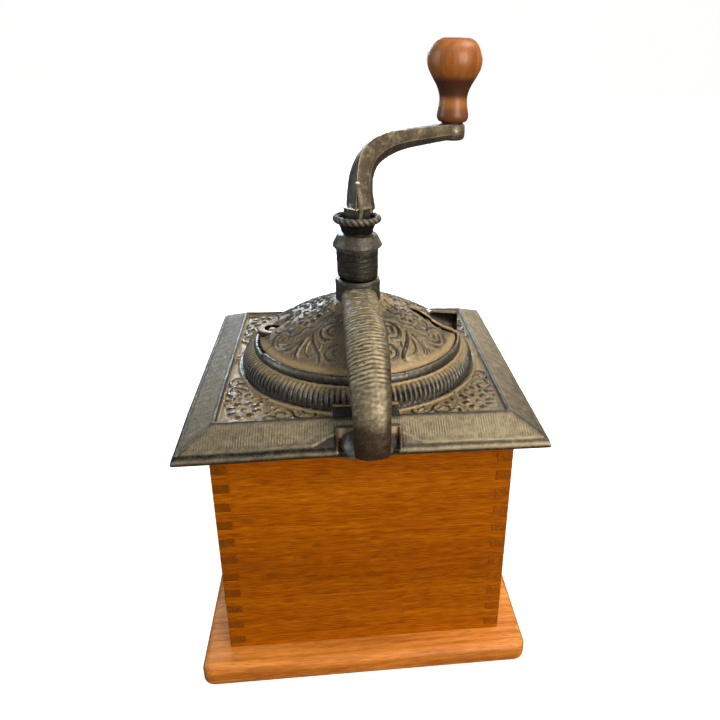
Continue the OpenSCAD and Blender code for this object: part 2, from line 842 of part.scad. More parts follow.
drawer_half = box_in - drawer_gap;
drawer_z = base_h + 0.4;
drawer_top = drawer_open_top - drawer_gap;
drawer_back_y = -62;
bottom_t = 4;

module drawer_front() {
    color(box_wood) difference() {
        translate([-drawer_half, box_in, drawer_z])
            cube([2 * drawer_half, board_t, drawer_top - drawer_z]);
        translate([0, 0, knob_level]) rotate([-90, 0, 0]) cylinder(r = 2, h = 100);
    }
}

module drawer_side() {
    color(base_wood) translate([-drawer_half, drawer_back_y, drawer_z + bottom_t])
        cube([drawer_t, box_in - drawer_back_y, drawer_side_h - bottom_t]);
}

module drawer_left_side()
    drawer_side();

module drawer_right_side()
    mirror([1, 0, 0]) drawer_side();

module drawer_back() {
    color(base_wood) translate([-drawer_half + drawer_t, drawer_back_y, drawer_z + bottom_t])
        cube([2 * (drawer_half - drawer_t), drawer_t, drawer_side_h - bottom_t - 4]);
}

module drawer_bottom() {
    color(base_wood) translate([-drawer_half, drawer_back_y, drawer_z])
        cube([2 * drawer_half, box_in - drawer_back_y, bottom_t]);
}

knob_level = (drawer_z + drawer_top) / 2;
knob_out = 17;
module drawer_knob() {
    k = drawer_knob_d / 2;
    color(knob_wood) translate([0, box_w / 2, knob_level]) rotate([-90, 0, 0])
        difference() {
            rotate_extrude() polygon([[0, 0], [k * 0.62, 0], [k * 0.55, knob_out * 0.2],
                [k * 0.52, knob_out * 0.35], [k * 0.8, knob_out * 0.5], [k, knob_out * 0.68],
                [k * 0.94, knob_out * 0.85], [k * 0.7, knob_out * 0.96], [0, knob_out]]);
            translate([0, 0, -over]) cylinder(r = 2, h = 11 + over);
        }
}

module drawer_knob_screw() {
    color(steel) translate([0, box_in, knob_level]) rotate([-90, 0, 0]) {
        translate([0, 0, -1.8]) cylinder(r = 3.6, h = 1.8);
        cylinder(r = 2, h = board_t + 11);
    }
}

// Brads that fix the drawer's sides to its back
module drawer_brads() {
    color(steel) for (side = [-1, 1], z = [30, 46])
        translate([side * drawer_half, drawer_back_y + drawer_t / 2, z])
            rotate([0, -side * 90, 0]) cylinder(r = 0.7, h = 14, $fn = 16);
}

base_board();
front_board();
drawer_side_board();
left_board();
right_board();
corner_blocks();
base_screws();
plate_screws();
top_plate();
handle_casting();
handle_screw();
neck_sleeve();
hopper_bowl();
hopper_screws();
outer_burr();
burr_screws();
lower_bridge();
bridge_screws();
lid();
lid_rivet();
thrust_washer();
adjusting_nut();
main_shaft();
inner_burr();
burr_pin();
crank_arm();
crank_pin();
nut_catch();
knob_spindle();
knob_washer();
crank_knob();
drawer_front();
drawer_left_side();
drawer_right_side();
drawer_back();
drawer_bottom();
drawer_knob();
drawer_knob_screw();
drawer_brads();
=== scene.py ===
import json
import math

import bmesh
import bpy
import numpy as np
from mathutils import Matrix, Vector


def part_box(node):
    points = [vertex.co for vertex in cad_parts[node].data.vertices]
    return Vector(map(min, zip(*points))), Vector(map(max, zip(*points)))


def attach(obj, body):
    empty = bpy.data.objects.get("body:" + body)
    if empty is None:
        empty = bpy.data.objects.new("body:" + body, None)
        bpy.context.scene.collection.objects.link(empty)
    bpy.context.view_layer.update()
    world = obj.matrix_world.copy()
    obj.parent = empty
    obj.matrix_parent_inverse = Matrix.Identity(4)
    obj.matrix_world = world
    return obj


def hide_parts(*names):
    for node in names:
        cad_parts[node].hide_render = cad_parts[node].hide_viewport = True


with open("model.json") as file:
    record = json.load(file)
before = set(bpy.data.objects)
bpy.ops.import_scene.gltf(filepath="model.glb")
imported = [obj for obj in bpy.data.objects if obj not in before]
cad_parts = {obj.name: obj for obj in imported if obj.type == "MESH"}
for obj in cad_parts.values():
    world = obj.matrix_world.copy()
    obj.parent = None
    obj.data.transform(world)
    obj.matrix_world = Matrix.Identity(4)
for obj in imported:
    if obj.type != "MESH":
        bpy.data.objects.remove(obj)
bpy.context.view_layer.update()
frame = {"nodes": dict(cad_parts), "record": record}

# Lengths in this script are millimetres unless a name ends in _m.
MM = 0.001
record = frame["record"]
BODY_OF = {node: body for body, nodes in record["behaviour"]["bodies"].items() for node in nodes}


def box_mm(node):
    low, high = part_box(node)
    return np.array(low) / MM, np.array(high) / MM


# ---------------------------------------------------------------- numbers from the frame
plate_low, plate_high = box_mm("top_plate")
PLATE = plate_high[0]
base_high = box_mm("base_board")[1]
BASE_H = base_high[2]
front_low, front_high = box_mm("front_board")
BOX, BOX_TOP = front_high[0], front_high[2]
BOARD = front_high[1] - front_low[1]
knob_low, knob_high = box_mm("crank_knob")
KNOB = KNOB_X, KNOB_Y = (knob_low[:2] + knob_high[:2]) / 2
CRANK_ANGLE = math.atan2(KNOB_Y, KNOB_X)
CRANK_REACH = math.hypot(KNOB_X, KNOB_Y)
rivet_low, rivet_high = box_mm("lid_rivet")
PIVOT = rivet_low[:2] / 2 + rivet_high[:2] / 2
drawer_low, drawer_high = box_mm("drawer_front")
pull_low, pull_high = box_mm("drawer_knob")


# ---------------------------------------------------------------- small maths
def rise(x, low, high):
    t = np.clip((np.asarray(x, float) - low) / (high - low), 0, 1)
    return t * t * (3 - 2 * t)


def rise_fall(x, low0, low1, high0, high1):
    """0 below low0, 1 from low1 to high0, 0 above high1."""
    return rise(x, low0, low1) * rise(-np.asarray(x), -high1, -high0)


def hump(x, width, power=2):
    return np.exp(-((x / width) ** power))


def round_turn(count):
    return np.linspace(0, 2 * math.pi, count, endpoint=False)


def polar(r, angle):
    return r * np.cos(angle), r * np.sin(angle)


def unit(rows):
    return rows / np.linalg.norm(rows, axis=1)[:, None]


def smooth_curve(points, step=0.4):
    """Dense Catmull-Rom curve through rows of points."""
    p = np.asarray(points, float)
    p = np.vstack([2 * p[0] - p[1], p, 2 * p[-1] - p[-2]])
    out = []
    for a, b, c, d in zip(p, p[1:], p[2:], p[3:]):
        n = max(2, int(np.linalg.norm(c[:2] - b[:2]) / step))
        t = np.linspace(0, 1, n, endpoint=False)[:, None]
        bend, twist = 2 * a - 5 * b + 4 * c - d, 3 * b - a - 3 * c + d
        out.append(0.5 * (2 * b + (c - a) * t + bend * t**2 + twist * t**3))
    return np.vstack([*out, p[-2][None]])


def distance_along(line):
    return np.concatenate([[0], np.cumsum(np.linalg.norm(np.diff(line, axis=0), axis=1))])


def resample(points, count, step=0.2):
    """count points equally spaced along a smooth curve."""
    line = smooth_curve(points, step)
    s = distance_along(line)
    at = np.linspace(0, s[-1], count)
    return np.column_stack([np.interp(at, s, line[:, k]) for k in range(line.shape[1])])


def normals(line):
    """Unit normals, to the left of its direction, of a line in a plane."""
    d = unit(np.gradient(line, axis=0))
    return np.column_stack([-d[:, 1], d[:, 0]])


def wobble(x, y, z, size, seed):
    """Smooth unevenness of about -1 to 1 with features of the given size."""
    rng = np.random.default_rng(seed)
    total = 0
    for _ in range(7):
        d = rng.normal(size=3)
        d *= rng.uniform(0.6, 1.7) / np.linalg.norm(d)
        total = total + np.sin((x * d[0] + y * d[1] + z * d[2]) * 2 * math.pi / size + rng.uniform(0, 6.28))
    return total / 3.2


def wobble_at(verts, size, seed):
    return wobble(verts[..., 0], verts[..., 1], verts[..., 2], size, seed)


def blur(a, n):
    """Box blur of a 2-D array by n cells each way, along both axes."""
    for axis in (0, 1):
        pad = [(n, n) if k == axis else (0, 0) for k in (0, 1)]
        c = np.cumsum(np.pad(a, pad, mode="edge"), axis=axis)
        c = np.insert(c, 0, 0, axis=axis)
        high = np.take(c, range(2 * n + 1, c.shape[axis]), axis=axis)
        low = np.take(c, range(0, c.shape[axis] - 2 * n - 1), axis=axis)
        a = (high - low) / (2 * n + 1)
    return a


# ---------------------------------------------------------------- mesh building
def add_piece(mesh, material, node, sharp=None):
    """Object from a mesh, on the body of the CAD node that it replaces; the node is hidden."""
    if sharp is not None:
        mesh.set_sharp_from_angle(angle=math.radians(sharp))
    obj = bpy.data.objects.new(mesh.name, mesh)
    bpy.context.scene.collection.objects.link(obj)
    mesh.materials.append(material)
    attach(obj, BODY_OF[node])
    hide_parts(node)
    return obj


def piece(name, verts, faces, material, node, sharp=None, **maps):
    """Smooth-shaded piece; maps holds the point attributes relief and rust."""
    mesh = bpy.data.meshes.new(name)
    verts = np.reshape(np.asarray(verts, float), (-1, 3)) * MM
    mesh.from_pydata(verts.tolist(), [], [list(map(int, f)) for f in faces])
    mesh.update()
    mesh.shade_smooth()
    for key, values in maps.items():
        layer = mesh.attributes.new(key, "FLOAT", "POINT")
        layer.data.foreach_set("value", np.asarray(values, np.float32).ravel())
    return add_piece(mesh, material, node, sharp)


def tube_faces(rows, count, closed=False, flip=False):
    """Quads of rows of count points that close round on themselves; closed joins the last row to the first."""
    i, j = np.meshgrid(np.arange(rows if closed else rows - 1), np.arange(count), indexing="ij")
    k = (i + 1) % rows
    n = (j + 1) % count
    quads = np.stack([i * count + j, i * count + n, k * count + n, k * count + j], -1).reshape(-1, 4)
    faces = quads.tolist()
    if not closed:
        faces.append(list(range(count))[::-1])
        faces.append([(rows - 1) * count + j for j in range(count)])
    return [f[::-1] for f in faces] if flip else faces


def lathe(profile, count, centre=(0, 0), shift=None):
    """Rows of a turned shape. profile: rows of radius, height; shift(r, z, angle) moves the surface out."""
    p = np.asarray(profile, float)
    r, ang = np.meshgrid(p[:, 0], round_turn(count), indexing="ij")
    z = np.broadcast_to(p[:, 1:2], r.shape)
    if shift is not None:
        r = r + shift(r, z, ang)
    return np.stack([centre[0] + r * np.cos(ang), centre[1] + r * np.sin(ang), z], -1)


def build_turned(name, profile, count, material, node, shift=None, centre=(0, 0), shade=None, sharp=None):
    """Turned piece; shade: profile rows and their relief values, interpolated between."""
    verts = lathe(profile, count, centre, shift)
    maps = {}
    if shade is not None:
        maps["relief"] = np.repeat(np.interp(np.arange(len(profile)), *shade)[:, None], count, 1)
    piece(name, verts, tube_faces(len(profile), count, closed=True), material, node, sharp, **maps)


def rows_between(points, step):
    """Profile rows at most about a step apart, without the last point."""
    out = []
    for (r0, z0), (r1, z1) in zip(points, points[1:]):
        n = max(1, int(math.hypot(r1 - r0, z1 - z0) / step))
        out += [(r0 + (r1 - r0) * k / n, z0 + (z1 - z0) * k / n) for k in range(n)]
    return out


def closed_shell(outer, inner, step):
    """Closed skin between a fine grid and one that has every row but only every step-th column."""
    nu, nv, mv = *outer.shape[:2], inner.shape[1]
    base = nu * nv
    i, j = np.meshgrid(np.arange(nu - 1), np.arange(nv - 1), indexing="ij")
    a = i * nv + j
    faces = np.stack([a, a + 1, a + nv + 1, a + nv], -1).reshape(-1, 4).tolist()
    b = (base + i * mv + j)[:, : mv - 1]
    faces += np.stack([b, b + mv, b + mv + 1, b + 1], -1).reshape(-1, 4).tolist()
    last_row = base + (nu - 1) * mv
    for k in range(mv - 1):
        edge = list(range(k * step, (k + 1) * step + 1))
        faces.append(edge[::-1] + [base + k, base + k + 1])
        faces.append([(nu - 1) * nv + j for j in edge] + [last_row + k + 1, last_row + k])
    for k in range(nu - 1):
        left, right = base + k * mv, base + k * mv + mv - 1
        faces.append([(k + 1) * nv, left + mv, left, k * nv])
        faces.append([k * nv + nv - 1, right, right + mv, (k + 1) * nv + nv - 1])
    return np.vstack([outer.reshape(-1, 3), inner.reshape(-1, 3)]), faces


# ---------------------------------------------------------------- materials
class Shader:
    """A small wrapper that builds node materials."""

    def __init__(self, name):
        self.material = bpy.data.materials.new(name)
        self.material.use_nodes = True
        self.tree = self.material.node_tree
        self.tree.nodes.clear()
        out = self.tree.nodes.new("ShaderNodeOutputMaterial")
        self.surface = self.tree.nodes.new("ShaderNodeBsdfPrincipled")
        self.tree.links.new(self.surface.outputs[0], out.inputs[0])
        coords = self.tree.nodes.new("ShaderNodeTexCoord")
        self.at, self.facing = coords.outputs["Object"], coords.outputs["Normal"]

    def put(self, socket, value):
        if isinstance(value, bpy.types.NodeSocket):
            self.tree.links.new(value, socket)
        elif value is not None:
            socket.default_value = (*value, 1) if isinstance(value, tuple) else value

    def node(self, kind, inputs=(), output=0, **props):
        """Output of a new node. A tuple among its inputs is a colour, a list a vector."""
        n = self.tree.nodes.new("ShaderNode" + kind)
        for key, value in props.items():
            setattr(n, key, value)
        for key, value in dict(inputs).items():
            self.put(n.inputs[key], value)
        return n.outputs[output]

    def maths(self, operation, *values):
        return self.node("Math", enumerate(values), operation=operation)

    def times(self, a, b):
        return self.maths("MULTIPLY", a, b)

    def sway(self, place, fac, amount):
        """place moved by amount times how far fac is above or below a half."""
        return self.maths("MULTIPLY_ADD", self.maths("SUBTRACT", fac, 0.5), amount, place)

    def stretched(self, axis, long, *shift):
        """Object coordinates, shifted, with the scale along one axis replaced."""
        scale = [long if k == axis else 1.0 for k in range(3)]
        return self.node("Mapping", {"Vector": self.at, "Scale": scale, "Location": list(shift)})

    def noise(self, vector, scale, detail=3.0, rough=0.5, distort=0.0):
        keys = "Vector", "Scale", "Detail", "Roughness", "Distortion"
        return self.node("TexNoise", zip(keys, (vector, scale, detail, rough, distort)), "Fac")

    def part(self, vector, axis):
        return self.node("SeparateXYZ", {0: vector}, axis)

    def between(self, value, low, high, to_low=0.0, to_high=1.0):
        keys = "Value", "From Min", "From Max", "To Min", "To Max"
        return self.node("MapRange", zip(keys, (value, low, high, to_low, to_high)), interpolation_type="SMOOTHSTEP")

    def ramp(self, value, stops):
        n = self.tree.nodes.new("ShaderNodeValToRGB")
        self.put(n.inputs[0], value)
        while len(n.color_ramp.elements) < len(stops):
            n.color_ramp.elements.new(0.5)
        for element, (at, colour) in zip(n.color_ramp.elements, stops):
            element.position, element.color = at, (*colour, 1)
        return n.outputs["Color"]

    def mix(self, fac, a, b):
        return self.node("Mix", {0: fac, 6: a, 7: b}, 2, data_type="RGBA")

    def attribute(self, name):
        return self.node("Attribute", output="Fac", attribute_name=name)

    def bump(self, height, strength, distance):
        return self.node("Bump", {"Height": height, "Strength": strength, "Distance": distance})

    def finish(self, colour, roughness, normal=None, **constants):
        s = self.surface.inputs
        self.put(s["Base Color"], colour)
        self.put(s["Roughness"], roughness)
        self.put(s["Normal"], normal)
        for key, value in constants.items():
            s[key.replace("_", " ")].default_value = value
        return self.material


FLAKE, RUST = (0.5, 0.44, 0.34), (0.12, 0.032, 0.008)
IRON_BUMP_m, WOOD_BUMP_m = 0.0005, 0.0003


def iron_material(name, low, middle, high, metal=0.75, rough=(0.3, 0.55), mapped=True, pit=1.0, blotch=0.0, dust=0.0):
    """Worn casting: dusty recesses, grey-brown faces, darker raised parts, pits and fine grain. Relief values above
    about 1 run into a near-black stop, painted shade for gaps, hollows and undersides.
    """
    m = Shader(name)
    broad = m.noise(m.at, 26, 4, 0.6)
    grain = m.noise(m.at, 420, 5, 0.65)
    place = m.maths("MULTIPLY_ADD", m.attribute("relief"), 0.42, 0.5) if mapped else 0.5
    place = m.sway(m.sway(place, grain, 0.6), broad, 0.4)
    if blotch:
        place = m.sway(place, m.noise(m.at, 190, 3, 0.6, 0.4), blotch)
    # The near-black last stop is painted shade, not a colour of the iron.
    painted_shade_colour = tuple(0.16 * c for c in high)
    colour = m.ramp(place, [(0.1, low), (0.44, middle), (0.76, high), (0.9, high), (1.0, painted_shade_colour)])
    flakes = m.between(m.noise(m.at, 1500, 2, 0.6), 0.62, 0.76)
    colour = m.mix(m.times(flakes, 0.4), colour, FLAKE)
    if mapped:
        rust = m.times(m.attribute("rust"), m.between(grain, 0.3, 0.6, 0.5, 1.0))
        colour = m.mix(rust, colour, RUST)
    cells = m.node("TexVoronoi", {"Vector": m.at, "Scale": 900}, "Distance")
    pits = m.between(cells, 0.0, 0.35)
    holes = m.between(m.noise(m.at, 700, 2, 0.5), 0.62, 0.72)
    height = m.maths("ADD", m.times(grain, 0.8), m.times(pits, 0.14 * pit))
    height = m.maths("SUBTRACT", height, m.times(holes, 0.35 * pit))
    roughness = m.between(m.noise(m.at, 180, 4, 0.6), 0.3, 0.7, *rough)
    if dust:
        roughness = m.maths("ADD", roughness, m.between(place, 0.2, 0.7, dust, 0.0))
    m.put(m.surface.inputs["Metallic"], m.between(place, 0.1, 0.6, metal * 0.45, metal))
    return m.finish(colour, roughness, m.bump(height, 0.65, IRON_BUMP_m))


def wood_material(name, axis, dark, middle, light, pore, *, coat=0.0, rough=(0.4, 0.55), end=None, seed=0.0,
                  streak=0.8, bands=(), gloss=0.05, fibre=1.3):
    """Varnished wood whose grain runs along an axis: streaks, pores, flecks, darker bands at given heights and end
    grain.
    """
    m = Shader(name)
    at = m.stretched(axis, 0.05, seed, seed * 0.7, seed * 0.3)
    short = m.stretched(axis, 0.085, seed, seed * 1.3, seed * 0.9)
    far = m.stretched(axis, 0.018, seed, seed, seed)
    fibres = m.noise(short, 1250, 3, 0.6)
    place = m.sway(0.5, m.noise(at, 320, 4, 0.62, 0.25), 0.75 * streak)
    place = m.sway(place, m.noise(far, 34, 4, 0.6, 0.5), 0.85 * streak)
    place = m.sway(place, fibres, fibre)
    colour = m.ramp(place, [(0.2, dark), (0.5, middle), (0.8, light)])
    pores = m.between(m.noise(short, 1500, 2, 0.5), 0.58, 0.7)
    colour = m.mix(m.times(pores, 0.5), colour, pore)
    flecks = m.between(m.noise(short, 900, 2, 0.5), 0.64, 0.76)
    colour = m.mix(m.times(flecks, 0.3), colour, light)
    growth = m.maths("SUBTRACT", m.noise(m.stretched(axis, 0.02, 0, 0, seed), 22, 1, 0.4), 0.5)
    colour = m.mix(m.between(m.maths("ABSOLUTE", growth), 0.0, 0.006, 0.45, 0.0), colour, light)
    for low_m, top_m, shade, amount in bands:
        height = m.part(m.at, 2)
        inside = m.times(m.between(height, low_m - 0.004, low_m), m.between(height, top_m, top_m + 0.005, 1.0, 0.0))
        colour = m.mix(m.times(inside, amount), colour, shade)
    if end is not None:
        is_end = m.between(m.maths("ABSOLUTE", m.part(m.facing, axis)), 0.6, 0.9)
        dots = m.noise(m.at, 1300, 3, 0.6)
        rings = m.noise(m.stretched(axis, 1.0, seed, 0, 0), 260, 3, 0.6, 1.0)
        grain_end = m.ramp(m.maths("ADD", m.times(dots, 0.5), m.times(rings, 0.5)), end)
        if axis == 1:
            is_end = m.times(is_end, m.between(m.part(m.at, 0), -0.07, 0.07, 1.0, 0.45))
        colour = m.mix(is_end, colour, grain_end)
    height = m.maths("SUBTRACT", m.times(fibres, 0.4), m.times(pores, 0.6))
    roughness = m.between(m.noise(at, 120, 3, 0.5), 0.3, 0.7, *rough)
    constants = {"Coat_Weight": coat, "Coat_Roughness": 0.27, "Specular_IOR_Level": gloss}
    return m.finish(colour, roughness, m.bump(height, 0.35, WOOD_BUMP_m), **constants)


# For plate_iron and border_iron the colours run from dusty recesses over plain faces to raised parts. strap_iron and
# crank_iron run from dark to light and neck_iron from light to near black; there the relief maps also place painted
# shade and painted highlight.
plate_iron = iron_material(
    "plate_iron", (0.28, 0.197, 0.095), (0.148, 0.122, 0.075), (0.072, 0.071, 0.066), rough=(0.25, 0.44), dust=0.25)
border_iron = iron_material(
    "border_iron", (0.3, 0.24, 0.142), (0.212, 0.18, 0.118), (0.052, 0.047, 0.038), rough=(0.42, 0.6), pit=1.4)
strap_iron = iron_material(
    "strap_iron", (0.028, 0.0135, 0.004), (0.118, 0.097, 0.062), (0.27, 0.235, 0.16), 0.7, (0.4, 0.6), blotch=0.5)
neck_iron = iron_material(
    "neck_iron", (0.1, 0.09, 0.07), (0.033, 0.0315, 0.026), (0.011, 0.0105, 0.01), 0.65, (0.38, 0.6))
crank_iron = iron_material(
    "crank_iron", (0.04, 0.036, 0.03), (0.14, 0.112, 0.078), (0.52, 0.43, 0.28),
    rough=(0.34, 0.55), pit=1.8, blotch=0.8)
foot_iron = iron_material(
    "foot_iron", (0.02, 0.019, 0.017), (0.04, 0.04, 0.038), (0.17, 0.17, 0.16), 0.7, (0.45, 0.62), False, 2.0, 1.0)
rivet_iron = iron_material(
    "rivet_iron", (0.36, 0.27, 0.15), (0.26, 0.21, 0.13), (0.17, 0.145, 0.1), 0.6, (0.4, 0.6), False)
# Dark iron for parts out of sight, and for the knob's washer as painted shade.
hidden_and_shaded_iron = iron_material(
    "hidden_and_shaded_iron", (0.08, 0.065, 0.05), (0.055, 0.048, 0.04), (0.04, 0.036, 0.032), 0.6, (0.5, 0.75), False)
leaf_steel = iron_material(
    "leaf_steel", (0.28, 0.24, 0.16), (0.58, 0.53, 0.4), (0.72, 0.67, 0.52), 1.0, (0.2, 0.36), False, 0.5)
steel = iron_material(
    "aged_steel", (0.16, 0.14, 0.11), (0.3, 0.28, 0.24), (0.42, 0.4, 0.36), 0.95, (0.25, 0.45), False, 0.6)

BOX_WOOD = [(0.17, 0.038, 0.001), (0.285, 0.073, 0.001), (0.44, 0.13, 0.003), (0.11, 0.024, 0.001)]
BOX_END = [(0.3, (0.09, 0.024, 0.001)), (0.6, (0.21, 0.058, 0.003))]
box_wood_x = wood_material("box_wood_x", 0, *BOX_WOOD, end=BOX_END, fibre=1.1)
box_wood_y = wood_material("box_wood_y", 1, *BOX_WOOD, end=BOX_END, fibre=1.1, seed=0.31)
base_wood = wood_material(
    "base_wood", 0, (0.3, 0.08, 0.008), (0.56, 0.19, 0.024), (0.78, 0.33, 0.065), (0.25, 0.065, 0.008),
    end=[(0.3, (0.2, 0.07, 0.02)), (0.6, (0.34, 0.13, 0.04))], seed=0.77, streak=1.4, gloss=0.3, fibre=0.6, coat=0.2)
knob_wood = wood_material(
    "knob_wood", 2, (0.2, 0.054, 0.009), (0.31, 0.1, 0.017), (0.4, 0.15, 0.03), (0.16, 0.04, 0.008),
    coat=0.25, rough=(0.4, 0.52), gloss=0.35, seed=0.13, streak=1.1, fibre=0.4,
    bands=[(0.28, 0.294, (0.1, 0.03, 0.007), 0.75), (0.304, 0.311, (0.034, 0.009, 0.005), 0.9)])
bare_wood = wood_material(
    "bare_wood", 1, (0.3, 0.17, 0.075), (0.42, 0.26, 0.125), (0.52, 0.35, 0.18), (0.25, 0.13, 0.06),
    rough=(0.6, 0.75), seed=0.5)


# ---------------------------------------------------------------- cast ornament
# A stroke is rows of x, y and half width.
def stroke(width, *points):
    line = smooth_curve(points, 0.35)
    s = np.linspace(-1, 1, len(line))
    return np.column_stack([line, width * (1 - 0.45 * s**2)])


def oval(x, y, length, width, angle):
    a = math.radians(angle)
    half = max(length - width, 0.1) / 2
    s = np.linspace(-1, 1, 9)
    line = [x + s * half * math.cos(a), y + s * half * math.sin(a), width / 2 * (1 - 0.35 * np.abs(s) ** 1.5)]
    return np.column_stack(line)


def flower(x, y, reach, length, width, turn, petals=8):
    lines = [oval(x, y, 3.6, 3.4, 0)]
    for a in [turn + 360 * k / petals for k in range(petals)]:
        c, s = math.cos(math.radians(a)), math.sin(math.radians(a))
        lines.append(oval(x + reach * c, y + reach * s, length, width, a))
    return lines


corner_half = [
    stroke(1.3, (66.5, -25), (69, -24.6), (71.4, -27.4), (71.2, -31.4), (68.6, -35), (64.6, -36.2), (61.4, -39)),
    stroke(1.45, (68.6, -35), (70.6, -38.4), (71, -42), (69, -44.6), (67.4, -47.2), (68.6, -49.8), (71.2, -48.8)),
    stroke(1.0, (66.6, -39), (64.6, -41), (65, -44), (67, -44.6)),
    stroke(1.0, (63.4, -31.2), (66, -30.2), (67.4, -27.8)),
    oval(67.4, -31.8, 2.6, 1.6, 70), oval(60.6, -44.4, 5.4, 3.2, -55), oval(57.2, -47.4, 4.6, 2.6, -20),
    oval(64.2, -48.4, 3.6, 2.0, -80), oval(70.8, -53.6, 3.4, 2.4, 80),
]
# The other half is the mirror image in the corner's diagonal, y = -x.
corner_lines = corner_half + [np.column_stack([-s[:, 1], -s[:, 0], s[:, 2]]) for s in corner_half]
corner_lines += flower(61.0, -59.4, 6.6, 6.4, 5.0, 12)
corner_lines += [oval(53.4, -53.0, 5.4, 3.6, 135), oval(49.6, -49.4, 3.4, 2.2, 135)]

dome_lines = [
    stroke(1.3, (13, -24.2), (17, -24.6), (20.6, -27.4), (21.4, -31.6), (19.6, -35), (16.6, -35.8)),
    stroke(1.1, (14.4, -27.4), (17.2, -28.4), (17.6, -31.6), (14.6, -33.8)),
    stroke(1.25, (25.4, -28), (25.6, -33), (24.4, -38.4), (22.4, -43.6), (22.2, -47), (24.4, -48.8), (27, -47.2)),
    stroke(1.35, (28.8, -29.4), (32.4, -33), (34.8, -37.6), (34.6, -41.8), (31.8, -45.4)),
    stroke(0.7, (27.4, -32.4), (29.4, -36), (29.6, -40), (27.8, -43)),
    stroke(0.9, (13, -20.4), (17.4, -21.4), (21.6, -21.8), (25.4, -23.4), (29.8, -21.6), (32.6, -23.8),
           (37.6, -23.2), (40.6, -20)),
    stroke(1.25, (38.8, -25), (38, -20.6), (39.8, -16.6), (43.6, -15), (47, -17.6), (48, -22.6), (46.2, -28),
           (42, -31.6), (36.6, -32.6), (31.2, -29.8)),
    stroke(0.85, (42, -19.4), (44.8, -20.8), (44.8, -25), (41.6, -28.4), (37, -29.4)),
    stroke(0.6, (41, -22.6), (41.8, -24.6), (39.6, -26.6)),
    stroke(1.1, (12.6, -39.4), (16.4, -40.4), (19.2, -43.4), (18, -47.2), (14.2, -48.8)),
    stroke(0.7, (13, -43), (15.6, -44), (14.6, -46)),
    stroke(0.9, (12.4, -9), (15.4, -13), (20.6, -16.6)),
    stroke(0.9, (14.6, -2.4), (17.2, -6.4), (21, -9.2)),
    stroke(0.8, (36, -12), (39, -15.4), (36.6, -18.6), (33.6, -17.2)),
    stroke(0.9, (41, -2.2), (44, -3.4), (47, -2.4), (48.6, -5)),
    oval(17.6, -2.4, 4.2, 2.0, -20), oval(16.4, -10.4, 4.0, 1.8, -60), oval(37.4, -37.6, 4.6, 1.8, -45),
    oval(21.8, -38.6, 5, 1.4, -75), oval(50.4, -29.6, 4.4, 1.5, -55), oval(40.2, -9.4, 5, 2.4, -30),
    oval(46.6, -11, 4.4, 1.9, 60), oval(34.8, -27.4, 3.6, 1.4, 25), oval(21.6, -4.4, 4.6, 2.6, 60),
    oval(25.4, -1.9, 4.6, 2.8, -20), oval(29.8, -3.8, 5.2, 3.2, 35), oval(34.6, -1.8, 4.8, 2.8, -15),
    oval(38.6, -4.6, 4.6, 2.4, 50),
] + flower(27.4, -12.6, 5.4, 5.6, 4.0, 20)
back_lines = [
    stroke(1.2, (0, 20), (0, 30), (0, 40)),
    stroke(1.3, (0, 46), (5, 43), (8, 36), (5, 29), (0, 26)),
    stroke(1.0, (3, 38), (4.6, 35), (2.4, 31)),
]


def emboss(x, y, lines, grow=1.0):
    """Share of full relief, 0 to 1, that the ornament's rounded strokes give at each point."""
    h = np.zeros_like(x)
    for s in lines:
        s = s * (1, 1, grow)
        pad = s[:, 2].max()
        inside = (x > s[:, 0].min() - pad) & (x < s[:, 0].max() + pad)
        inside &= (y > s[:, 1].min() - pad) & (y < s[:, 1].max() + pad)
        if not inside.any():
            continue
        d = np.hypot(x[inside][:, None] - s[:, 0], y[inside][:, None] - s[:, 1]) / s[:, 2]
        h[inside] = np.maximum(h[inside], np.clip(1 - d.min(axis=1) ** 2.2, 0, 1) ** 0.6)
    return h


# ---------------------------------------------------------------- top plate with its border
LIP_Z = plate_low[2]
PANEL_Z, PANEL_UNDER_Z = 157.5, BOX_TOP + 0.1
BEAD_R, BEAD_W = 74.3, 1.25
SLOPE, SLOPE_Z = 0.474, LIP_Z + 4.5
NOTCH_X, NOTCH_W, NOTCH_Y = 1.3, 30.6, -81.3
NOTCH_Z = LIP_Z + 3.0
PAD_X, PAD_W, PAD_Z = 0.8, 34, 162.0
RIDGE_PITCH = 1.3
LINK_Y = 3
HOLE_R = 66
GRID_X, GRID_Y = 0.42, 0.6


def corner_sag(x, y):
    """The plate's corner to the left of the handle droops a little."""
    return 1.3 * rise(-x, 20, 92) * rise(-y, 40, 92)


